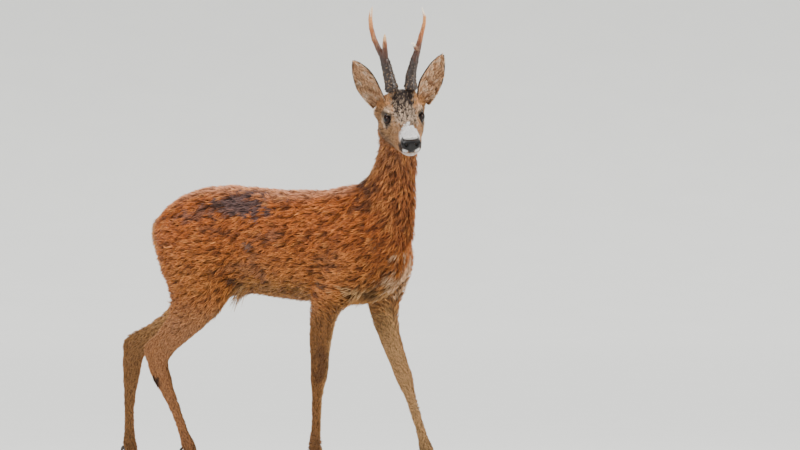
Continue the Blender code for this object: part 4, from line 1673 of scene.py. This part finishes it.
def painted(skin: Piece, ground: Ground, markings: Markings, seed: int = 3) -> None:
    """Give the skin the coat's colours, painted light and shade included.

    Args:
        skin: The skin.
        ground: Its regions and directions.
        markings: The coat's colours.
        seed: Sets the chance of dark and light hairs.
    """
    dice = np.random.default_rng(seed).uniform(size=len(ground.local))
    colour = markings.colours(ground.net.places, ground.normal, ground.share, dice)
    bare = NosePad().behind(ground.local)
    for far, oval in eye_ovals(ground.local):
        bare = np.maximum(bare, ramp(oval, 1.16, 1.07) * ramp(far, 0.022, 0.019))
    tinted(skin.data, blend(colour, markings.soot, 0.95 * bare))
    lids = skin.data.attributes.new("bare", "FLOAT", "POINT")
    lids.data.foreach_set("value", bare.astype(np.float32))


# --- Eyes, nose, antlers and claws ---

@dataclass(frozen=True)
class Eye:
    """One eyeball, with a low cornea and a map of where it looks."""

    side: Side
    cornea: float = 0.0007  # how far the cornea stands out of the ball
    segments: int = 56

    def build(self, finish: Finish) -> Piece:
        """Make the eyeball.

        Args:
            finish: The eye's material.

        Returns:
            The eye.
        """
        socket = Socket(self.side)
        radius, centre = socket.radius, Vector(socket.centre)
        shape = bmesh.new()
        bmesh.ops.create_uvsphere(shape, u_segments=self.segments, v_segments=self.segments // 2,
                                  radius=radius)
        out, along, across = (Vector(axis) for axis in socket.axes)
        gaze = shape.loops.layers.uv.new(GAZE_MAP)
        for vertex in shape.verts:
            height = vertex.co.z / radius
            vertex.co += vertex.co.normalized() * self.cornea * max(0.0, height - 0.55) / 0.45
        for loop in (loop for face in shape.faces for loop in face.loops):
            loop[gaze].uv = (loop.vert.co.x, loop.vert.co.y)
        turn = Matrix((along, across, out)).transposed()
        if turn.determinant() < 0:
            bmesh.ops.reverse_faces(shape, faces=shape.faces)
        for vertex in shape.verts:
            vertex.co = Vector(HEAD.world(np.array(turn @ vertex.co + centre)))
        shape.normal_update()
        return dressed(object_of(f"eye_ball_{self.side.word}", shape), finish)


@dataclass(frozen=True)
class NosePad:
    """The bare wet pad round the nostrils: wide above, and narrow where it parts the upper lip."""

    middle: Pair = (0.1205, -0.0244)  # forward and up, in the head's frame
    half: float = 0.0235
    narrow: float = 0.3  # the foot's share of the full width
    waist: Pair = (-0.0055, -0.015)  # where it begins to narrow, and is narrowest
    lower: float = 0.0074  # how far its upper edge is let down onto the muzzle
    pebble: float = 0.0001  # how far its fine pebbles stand up
    furrow: float = 0.0012  # depth of the furrow down its middle
    nostril: Pair = (0.0118, 0.0215)  # sideways, and from the level of the eyes
    nostril_half: Pair = (0.0058, 0.0056)

    def taper(self, height: Array) -> Array:
        """The share of the full width at each height over the pad's middle."""
        return 1.0 - (1.0 - self.narrow) * ramp(height, *self.waist)

    def behind(self, places: Array) -> Array:
        """One on the skin that the pad covers, zero beside it.

        Args:
            places: Head-frame points.

        Returns:
            One share a point.
        """
        height = places[:, 2] - self.middle[1]
        inside = ramp(np.abs(places[:, 1]) - self.half * self.taper(height), 0.0005, -0.001)
        return inside * ramp(places[:, 0], 0.107, 0.11) * (height > -0.0205) * (height < 0.0145)

    def build(self, finish: Finish) -> Piece:
        """Make the nose pad from its CAD solid, finer, tapered and with its furrow.

        Args:
            finish: The pad's material.

        Returns:
            The pad.
        """
        shape = merged_copy("nose")
        joined(shape, 0.6, 0.8)
        pad = finer(object_of("nose_pad", shape), 3)
        net = Net(pad.data)
        local = HEAD.local(net.spread(net.places, 3, 0.5))
        height = local[:, 2] - self.middle[1]
        local[:, 1] *= self.taper(height)
        local[:, 2] -= self.lower * ramp(height, 0.0, 0.02)
        line = np.exp(-(local[:, 1] / 0.0016) ** 2) * ramp(height, 0.012, 0.004)
        net.places = HEAD.world(local)
        lift = -self.furrow * line + self.pebble * Waves(0.0013, 41, 30).at(net.places)
        net.places += net.normals() * lift[:, None]
        net.write()
        # the nostrils are painted black: painted shade inside the holes
        hole = np.linalg.norm((np.abs(local[:, 1:]) - self.nostril) / self.nostril_half, axis=1)
        tinted(pad.data, ramp(hole, 0.75, 1.05)[:, None])
        return dressed(pad, finish)


@dataclass(frozen=True)
class Antler:
    """One antler: a burr, a pearled beam, and smooth points."""

    side: Side
    grain: float = 0.0009
    close: float = 0.00035  # closes the cuts between beam, tine and tip
    pearl: float = 0.0013  # height of the pearls on the lower beam
    burr: float = 0.0022  # how far the burr's beads stand out
    burr_height: float = 0.0045
    burr_reach: float = 0.004
    furrow: float = 0.0003  # depth of the furrows along the upper beam
    hook: tuple[tuple[float, float, float, float], ...] = (  # the left tine's line and its radii
        (0.4228, -0.03, 1.017, 0.0062), (0.4228, -0.0395, 1.0215, 0.0055), (0.4234, -0.0475, 1.0275, 0.0042),
        (0.425, -0.0575, 1.0325, 0.0031), (0.4272, -0.069, 1.0332, 0.0023), (0.429, -0.0775, 1.0288, 0.0008))

    def build(self, finish: Finish) -> Piece:
        """Make the antler.

        Args:
            finish: The antler's material.

        Returns:
            The antler, in one piece.
        """
        nodes = [f"antler_{self.side.word}_{part}" for part in ("beam", "tip", "tine")]
        shapes = [merged_copy(node) for node in (nodes[:2] if self.side is Side.LEFT else nodes)]
        for shape in shapes:
            swollen(shape, self.close)
        if self.side is Side.LEFT:
            shapes.append(self.hooked())
        antler = fused(f"antler_{self.side.word}", shapes, self.grain)
        net = Net(antler.data)
        net.places = net.spread(net.places, 12, 0.5)
        local = HEAD.local(net.places)
        foot = local[:, 2].min()
        height = (local[:, 2] - foot) / (local[:, 2].max() - foot)
        bumps = Waves(0.0052, 51, 40).at(net.places) + 0.4 * Waves(0.003, 52, 30).at(net.places)
        beads = ramp(bumps, 0.05, 1.0)
        rough = ramp(height, 0.62, 0.18)
        ring = np.exp(-((local[:, 2] - foot - self.burr_height) / self.burr_reach) ** 2)
        streaks = Waves(0.006, 53, 24).at(local * (1.0, 1.0, 0.06))
        lift = self.pearl * beads * rough + self.burr * ring * beads
        lift += self.furrow * streaks * ramp(height, 0.12, 0.4) * ramp(height, 0.95, 0.7)
        net.places += net.normals() * lift[:, None]
        net.write()
        self.paint(net, height, np.clip(beads * np.maximum(rough, ring), 0.0, 1.0), streaks)
        return dressed(antler, finish)

    def hooked(self, sides: int = 14) -> Shape:
        """Make the left antler's front tine, a short hook.

        Args:
            sides: How many corners it has around.

        Returns:
            A closed tapering tube.
        """
        shape = bmesh.new()
        line = np.array(self.hook)
        rings = []
        for k, (x, y, z, radius) in enumerate(line):
            ahead = Vector(line[min(k + 1, len(line) - 1), :3] - line[max(k - 1, 0), :3])
            turn = ahead.to_track_quat("Z", "X").to_matrix()
            circle = [Vector((radius * math.cos(a), radius * math.sin(a), 0.0))
                      for a in np.arange(sides) * 2 * math.pi / sides]
            rings.append([shape.verts.new(Vector((x, y, z)) + turn @ spot) for spot in circle])
        for one, two in zip(rings, rings[1:]):
            for k in range(sides):
                n = (k + 1) % sides
                shape.faces.new((one[k], one[n], two[n], two[k]))
        shape.faces.new(rings[0][::-1])
        shape.faces.new(rings[-1])
        shape.normal_update()
        return shape

    def paint(self, net: Net, height: Array, beads: Array, streaks: Array) -> None:
        """Colour the antler from its dark foot to its ivory points.

        Args:
            net: The antler's net.
            height: From 0 at the foot to 1 at the highest point, one a vertex.
            beads: How far each vertex stands on a pearl.
            streaks: Noise drawn out along the antler.
        """
        tone = height + 0.045 * streaks
        stain = ramp(streaks, 0.15, 0.9) * ramp(height, 0.3, 0.45) * ramp(height, 0.86, 0.66)
        tinted(net.mesh, layered(
            "#22120A",
            ("#4A2716", ramp(tone, 0.3, 0.52)),
            ("#96501F", ramp(tone, 0.5, 0.66)),
            ("#C98448", ramp(tone, 0.66, 0.84)),
            ("#F6E8D4", ramp(tone, 0.86, 0.96)),
            ("#4A2412", 0.7 * stain),
            ("#D9A56E", 0.3 * ramp(streaks, -0.2, -0.95) * ramp(height, 0.45, 0.6)),
            ("#98795C", 0.5 * ramp(beads, 0.55, 1.0)),
            ("#EFE2CF" if self.side is Side.LEFT else "#D9AE7D", self.tine_tip(net.places))))

    def tine_tip(self, places: Array) -> Array:
        """Find the polished end of the front tine.

        Args:
            places: World points.

        Returns:
            How much each of them belongs to it.
        """
        tine = f"antler_{self.side.word}_tine"
        inside = in_box(tine, places, 0.001, 0.01)
        if self.side is Side.RIGHT:
            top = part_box(tine)[1][2]
            return inside * ramp(places[:, 2], top - 0.026, top - 0.004)
        return inside * ramp(places[:, 1], -0.046, -0.056)


@dataclass(frozen=True)
class Claws:
    """All main claws and dewclaws: rounded horn over the CAD solids."""

    edge: float = 0.0011  # radius of the worn edges

    def build(self, finish: Finish) -> list[Piece]:
        """Make every claw.

        Args:
            finish: The horn's material.

        Returns:
            The claws.
        """
        pieces = []
        for node in sorted(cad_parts):
            if not node.startswith(("hoof_", "dewclaw_")):
                continue
            shape = merged_copy(node)
            bmesh.ops.dissolve_limit(shape, angle_limit=0.02, verts=shape.verts, edges=shape.edges)
            joined(shape, 0.5, 0.9)
            sharp = [e for e in shape.edges if e.is_manifold and e.calc_face_angle() > 0.6]
            bmesh.ops.bevel(shape, geom=sharp, offset=self.edge, offset_type="OFFSET", segments=2,
                            profile=0.5, affect="EDGES", clamp_overlap=True, material=-1)
            name = node.replace("hoof", "claw").replace("dewclaw", "small_claw")
            claw = dressed(finer(object_of(name, shape), 2), finish)
            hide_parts(node)
            pieces.append(claw)
        return pieces


# --- Finishes ---

class Recipe:
    """A material in the making, with the node patterns that the finishes share."""

    def __init__(self, name: str, **values: float) -> None:
        """Start a material.

        Args:
            name: The real material's name.
            values: Constant values for the shader's sockets, with underscores for spaces.
        """
        self.material = bpy.data.materials.new(name)
        self.material.use_nodes = True
        self.tree = self.material.node_tree
        self.shader = next(node for node in self.tree.nodes if node.type == "BSDF_PRINCIPLED")
        for key, value in values.items():
            self.shader.inputs[key.replace("_", " ").title().replace("Ior", "IOR")].default_value = value

    def node(self, kind: str, settings: dict | None = None, inputs: dict | None = None) -> bpy.types.Node:
        """Add a node with its settings and links.

        Args:
            kind: The node's type, without the prefix that all shader nodes have.
            settings: Values for the node's own properties.
            inputs: For each input, by name or number, a value or the output that feeds it.

        Returns:
            The node.
        """
        node = self.tree.nodes.new("ShaderNode" + kind)
        for name, value in (settings or {}).items():
            setattr(node, name, value)
        for name, value in (inputs or {}).items():
            if isinstance(value, Output):
                self.tree.links.new(value, node.inputs[name])
            else:
                node.inputs[name].default_value = value
        return node

    def pattern(self, kind: str, inputs: dict, settings: dict | None = None) -> Output:
        """Add a texture in the object's own space, where scales are cells a metre."""
        place = self.node("TexCoord").outputs["Object"]
        return self.node(kind, settings, {"Vector": place} | inputs).outputs[0]

    def remap(self, value: Output, at_low: float, at_high: float, low: float = 0.0,
              high: float = 1.0) -> Output:
        """Map the range from low to high onto two new values, and hold it there beyond its ends."""
        return self.node("MapRange", None, {0: value, 1: low, 2: high, 3: at_low, 4: at_high}).outputs[0]

    def mixed(self, share: Output, *colours: str | Output) -> Output:
        """Mix two colours, each a hex value or the output that feeds it."""
        first, second = ((*linear(c), 1.0) if isinstance(c, str) else c for c in colours)
        return self.node("Mix", {"data_type": "RGBA"}, {0: share, 6: first, 7: second}).outputs[2]

    def tinted(self, shade: Output, coloured: bool = False) -> Output:
        """Multiply the mesh's tint by a grey or by a colour."""
        tint = self.node("Attribute", {"attribute_name": "tint"}).outputs["Color"]
        return self.scaled(tint, shade, coloured)

    def scaled(self, colour: Output, shade: Output,
               coloured: bool = False) -> Output:
        """Multiply a colour by a grey or by another colour."""
        operation, slot = ("MULTIPLY", 1) if coloured else ("SCALE", "Scale")
        return self.node("VectorMath", {"operation": operation}, {0: colour, slot: shade}).outputs[0]

    def done(self, colour: Output, gloss: Output | None = None,
             relief: tuple[float, float, Output] | None = None,
             invert: bool = False) -> Finish:
        """Link a finish's outputs to the shader.

        Args:
            colour: Feeds the base colour.
            gloss: Feeds the roughness, where it varies.
            relief: The bump's strength, its depth in metres, and the output that gives its height.
            invert: True where the relief counts downwards.

        Returns:
            The material.
        """
        sockets = {"Base Color": colour, "Roughness": gloss}
        if relief:
            settings = dict(zip(("Strength", "Distance", "Height"), relief))
            sockets["Normal"] = self.node("Bump", {"invert": invert}, settings).outputs[0]
        for name, source in sockets.items():
            if source is not None:
                self.tree.links.new(source, self.shader.inputs[name])
        return self.material


@dataclass(frozen=True)
class DeerHair:
    """Summer guard hair: keratin with painted shade at the root, a bright shaft and a soft satin gloss."""

    # painted shade at the root of every tuft, rising to full brightness at the tip
    root_shade: tuple[Pair, ...] = ((0.0, 0.2), (0.4, 0.62), (0.8, 1.1))  # brightness up the shaft
    strands: float = 7.0  # single hairs across one tuft
    streaks: Pair = (0.74, 1.22)  # the darkest and the brightest of them

    def material(self) -> Finish:
        """Make the hair's material.

        Returns:
            The material.
        """
        recipe = Recipe("deer hair", roughness=0.58, ior=1.55, specular_ior_level=0.16, sheen_weight=0.05,
                        sheen_roughness=0.5)
        place = recipe.node("UVMap", {"uv_map": STRAND_MAP}).outputs[0]
        shaft = recipe.node("ValToRGB", None, {0: recipe.node("SeparateXYZ", None, {0: place}).outputs[1]})
        stops = shaft.color_ramp.elements
        stops.new(0.5)
        for stop, (along, grey) in zip(stops, self.root_shade):
            stop.position, stop.color = along, (grey, grey, grey, 1.0)
        spread = recipe.node("Mapping", None, {0: place, 3: (self.strands, 0.7, 1.0)}).outputs[0]
        hairs = recipe.node("TexNoise", {"noise_dimensions": "2D"},
                            {"Vector": spread, "Scale": 1.0, "Detail": 2.0}).outputs[0]
        shaded = recipe.tinted(shaft.outputs[0], coloured=True)
        return recipe.done(recipe.scaled(shaded, recipe.remap(hairs, *self.streaks, 0.3, 0.7)), None,
                           (0.5, 0.0003, hairs))


@dataclass(frozen=True)
class DeerHide:
    """The skin under the coat: dull, darkened between hairs as painted shade, and bare, black and moist on
    the lids.
    """

    pile_mm: float = 0.7  # the finest hair that the bump draws
    # painted shade: the skin is darkened where it shows between the tufts
    shades: Pair = (0.24, 0.54)  # the hair's floor against its tips, darkest and brightest
    roughness: Pair = (0.85, 0.28)  # under hair, and bare

    def material(self) -> Finish:
        """Make the skin's material.

        Returns:
            The material.
        """
        recipe = Recipe("haired hide", ior=1.45, specular_ior_level=0.3)
        pile = recipe.pattern("TexNoise", {"Scale": 1000.0 / self.pile_mm / 4.0, "Detail": 3.0})
        bare = recipe.node("Attribute", {"attribute_name": "bare"}).outputs["Fac"]
        return recipe.done(recipe.tinted(recipe.remap(pile, *self.shades, 0.3, 0.7)),
                           recipe.remap(bare, *self.roughness), (0.7, 0.0006, pile))


@dataclass(frozen=True)
class AntlerBone:
    """Polished dead bone stained by bark: dull and dark in its hollows, glossy on its points."""

    pore_mm: float = 1.2

    def material(self) -> Finish:
        """Make the antler's material.

        Returns:
            The material.
        """
        recipe = Recipe("antler bone", ior=1.54, specular_ior_level=0.45)
        pores = recipe.pattern("TexNoise", {"Scale": 1000.0 / self.pore_mm / 3.0, "Detail": 4.0})
        return recipe.done(recipe.tinted(recipe.remap(pores, 0.7, 1.28, 0.3, 0.7)),
                           recipe.remap(pores, 0.52, 0.3, 0.3, 0.7), (0.5, 0.0004, pores))


@dataclass(frozen=True)
class WetLeather:
    """The nose's bare skin: black, pebbled, and wet enough to mirror the sky."""

    pebble_mm: float = 1.1

    def material(self) -> Finish:
        """Make the nose's material.

        Returns:
            The material.
        """
        recipe = Recipe("moist nose leather", ior=1.4, specular_ior_level=0.36, coat_weight=0.15,
                        coat_roughness=0.2)
        cells = recipe.pattern("TexVoronoi", {"Scale": 1000.0 / self.pebble_mm})
        return recipe.done(recipe.tinted(recipe.mixed(cells, "#121011", "#060505"), coloured=True),
                           recipe.remap(cells, 0.36, 0.6), (0.55, 0.0004, cells), invert=True)


@dataclass(frozen=True)
class DarkEye:
    """A deer's eye: a dark brown iris round a flat oval pupil, under a clear wet cornea."""

    pupil: Pair = (0.0052, 0.003)  # half its width and half its height
    iris: float = 0.0098

    def material(self) -> Finish:
        """Make the eye's material.

        Returns:
            The material.
        """
        recipe = Recipe("wet eye", roughness=0.25, ior=1.33, specular_ior_level=0.1, coat_weight=0.6,
                        coat_roughness=0.02, coat_ior=1.33)
        gaze = recipe.node("UVMap", {"uv_map": GAZE_MAP}).outputs[0]

        def oval(wide: float, high: float) -> Output:
            """Distance from the gaze's middle, 1 on the oval."""
            flat = recipe.scaled(gaze, (1.0 / wide, 1.0 / high, 0.0), coloured=True)
            return recipe.node("VectorMath", {"operation": "LENGTH"}, {0: flat}).outputs[1]

        fibres = recipe.node("TexNoise", None, {"Vector": gaze, "Scale": 900.0, "Detail": 3.0}).outputs[0]
        pupil = recipe.remap(oval(*self.pupil), 0.0, 1.0, 1.12, 0.92)
        edge = recipe.remap(oval(self.iris, self.iris), 0.0, 1.0, 0.86, 1.04)
        iris = recipe.mixed(fibres, "#120805", "#2C160B")
        return recipe.done(recipe.mixed(edge, recipe.mixed(pupil, iris, "#020202"), "#060403"))


@dataclass(frozen=True)
class ClawHorn:
    """Claw keratin: black horn with fine growth rings, scuffed dull towards the ground."""

    ring_mm: float = 2.2

    def material(self) -> Finish:
        """Make the horn's material.

        Returns:
            The material.
        """
        recipe = Recipe("claw horn", ior=1.55, specular_ior_level=0.45)
        rings = recipe.pattern("TexWave", {"Scale": 1000.0 / self.ring_mm / 20.0, "Distortion": 3.0,
                                           "Detail": 3.0, "Detail Scale": 2.0}, {"bands_direction": "Z"})
        scuff = recipe.pattern("TexNoise", {"Scale": 220.0, "Detail": 5.0})
        return recipe.done(recipe.mixed(scuff, "#1B1715", "#4B4038"),
                           recipe.remap(scuff, 0.34, 0.62, 0.3, 0.7), (0.35, 0.0005, rings))


@dataclass(frozen=True)
class StudioPaper:
    """The studio's matt paper floor."""

    colour: str = "#DCDCD8"
    mottle: float = 0.03  # how far its tone swings

    def material(self) -> Finish:
        """Make the floor's material.

        Returns:
            The material.
        """
        recipe = Recipe("studio paper", roughness=0.9)
        fibre = recipe.pattern("TexNoise", {"Scale": 3.0, "Detail": 4.0})
        dark, light = ((*linear(self.colour) * (1.0 + swing), 1.0) for swing in (-self.mottle, self.mottle))
        mix = recipe.node("Mix", {"data_type": "RGBA"}, {0: fibre, 6: dark, 7: light})
        return recipe.done(mix.outputs[2])


# --- The studio ---

@dataclass(frozen=True)
class Lamp:
    """One square soft lamp that shines at the animal."""

    name: str
    power: float  # in watts
    size: float
    place: Triple
    colour: str


@dataclass(frozen=True)
class Studio:
    """Floor, soft lights and a far, level camera."""

    azimuth: float = 29.16  # the camera looks along (-sin, cos) of this
    tilt: float = 0.155  # how far it looks up, in degrees
    distance: float = 22.0
    across: float = 1.9236  # width of the view at the animal
    height: float = 0.5429  # the camera's height
    aside: float = 0.2905  # the view's middle, to the right of the trunk's middle
    trunk: Pair = (0.004, 0.0368)
    sensor: float = 36.0
    sight: float = 200.0  # how far the camera sees
    rings: tuple[float, ...] = (0.001, 2.0, 8.0, 20.0, 32.0)  # the level floor's rings
    bend: float = 12.0  # radius of the curve at the floor's edge
    bend_steps: int = 12
    sectors: int = 64
    ceiling: float = 5.4  # the light from above, as from a white ceiling, in watts a square metre
    ceiling_spread: float = 50.0  # its angle in degrees, which softens the shadows
    ceiling_from: Triple = (-0.25, 0.05, 1.0)
    aim: Triple = (0.0, 0.0, 0.6)  # where the lamps shine
    lamps: tuple[Lamp, ...] = (
        Lamp("front", 110.0, 1.6, (-1.4, -4.4, 2.8), "#FFFFFF"),
        Lamp("side", 90.0, 1.4, (3.2, 0.4, 1.9), "#FFFAF2"),
    )
    air: str = "#E9ECEC"
    glow: float = 0.4  # the light from all round

    @staticmethod
    def hang(data: bpy.types.ID, place: Vector, gaze: Vector) -> Piece:
        """Put a camera or a lamp in the scene.

        Args:
            data: The camera's or the lamp's data, whose name it takes.
            place: Where it hangs.
            gaze: Where it looks.

        Returns:
            The new object.
        """
        thing = bpy.data.objects.new(data.name, data)
        thing.location = place
        thing.rotation_euler = gaze.to_track_quat("-Z", "Y").to_euler()
        bpy.context.scene.collection.objects.link(thing)
        return thing

    def camera(self) -> None:
        """Set up the camera."""
        turn = math.radians(self.azimuth)
        right = Vector((math.cos(turn), math.sin(turn), 0.0))
        ahead = Vector((-math.sin(turn), math.cos(turn), 0.0))
        data = bpy.data.cameras.new("camera")
        data.sensor_width = self.sensor
        data.lens = self.sensor * self.distance / self.across
        data.clip_end = self.sight
        middle = Vector((*self.trunk, self.height)) + right * self.aside
        gaze = ahead + Vector((0.0, 0.0, math.tan(math.radians(self.tilt))))
        bpy.context.scene.camera = self.hang(data, middle - ahead * self.distance, gaze)

    def floor(self) -> Piece:
        """Make the floor: level under the animal, and curving up far off.

        Returns:
            The floor.
        """
        shape = bmesh.new()
        profile = [shape.verts.new((r, 0.0, 0.0)) for r in self.rings]
        for k in range(1, self.bend_steps + 1):
            turn = math.radians(90.0 / self.bend_steps * k)
            profile.append(shape.verts.new((self.rings[-1] + self.bend * math.sin(turn), 0.0,
                                            self.bend * (1.0 - math.cos(turn)))))
        edges = [shape.edges.new(pair) for pair in zip(profile, profile[1:])]
        bmesh.ops.spin(shape, geom=profile + edges, cent=(0.0, 0.0, 0.0), axis=(0.0, 0.0, 1.0),
                       angle=2.0 * math.pi, steps=self.sectors, use_merge=True)
        bmesh.ops.remove_doubles(shape, verts=shape.verts, dist=0.003)
        bmesh.ops.recalc_face_normals(shape, faces=shape.faces)
        shape.normal_update()
        if sum(face.normal.z * face.calc_area() for face in shape.faces) < 0:
            bmesh.ops.reverse_faces(shape, faces=shape.faces)
        return dressed(object_of("floor", shape), StudioPaper().material())

    def light(self) -> None:
        """Set up the ceiling's light, the lamps and the light of the air."""
        sun = bpy.data.lights.new("ceiling", "SUN")
        sun.energy, sun.angle = self.ceiling, math.radians(self.ceiling_spread)
        self.hang(sun, Vector(), -Vector(self.ceiling_from))
        for lamp in self.lamps:
            data = bpy.data.lights.new(lamp.name, "AREA")
            data.energy, data.size, data.color = lamp.power, lamp.size, linear(lamp.colour)
            self.hang(data, Vector(lamp.place), Vector(self.aim) - Vector(lamp.place))
        world = bpy.data.worlds.new("studio")
        bpy.context.scene.world = world
        world.use_nodes = True
        background = world.node_tree.nodes["Background"]
        background.inputs["Color"].default_value = (*linear(self.air), 1.0)
        background.inputs["Strength"].default_value = self.glow

    def build(self) -> None:
        """Set up the whole studio."""
        self.camera()
        self.floor()
        self.light()


# --- The animal ---

def place(pieces: list[Piece], slot: str) -> None:
    """Fix pieces to the model's one body and report them.

    Args:
        pieces: The pieces.
        slot: The record's material slot; it is not used.
    """
    for piece in pieces:
        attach(piece, "root")
        LOG.info("%s: %d vertices", piece.name, len(piece.data.vertices))


def main() -> None:
    """Build the roebuck and the studio round it."""
    logging.basicConfig(level=logging.INFO, format="%(message)s")
    Studio().build()
    markings = Markings()
    shape = Skin()
    skin = shape.build()
    Ears().grow(skin, shape.nudges)
    ground = Ground(skin)
    unwrapped(skin)
    painted(skin, ground, markings)
    dressed(skin, DeerHide().material())
    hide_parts(*SHELL_NODES, *EAR_NODES)
    place([skin], "coat")
    place(Coat(ground, markings).build(DeerHair().material()), "coat")
    wet = DarkEye().material()
    for side in Side:
        eye = Eye(side).build(wet)
        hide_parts(f"eye_{side.word}")
        place([eye], "eye")
    nose = NosePad().build(WetLeather().material())
    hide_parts("nose")
    place([nose], "nose")
    bone = AntlerBone().material()
    for side in Side:
        antler = Antler(side).build(bone)
        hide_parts(*(f"antler_{side.word}_{part}" for part in ("beam", "tine", "tip")))
        place([antler], "antler")
    place(Claws().build(ClawHorn().material()), "hoof")
    bpy.context.view_layer.update()


if __name__ == "__main__":
    main()
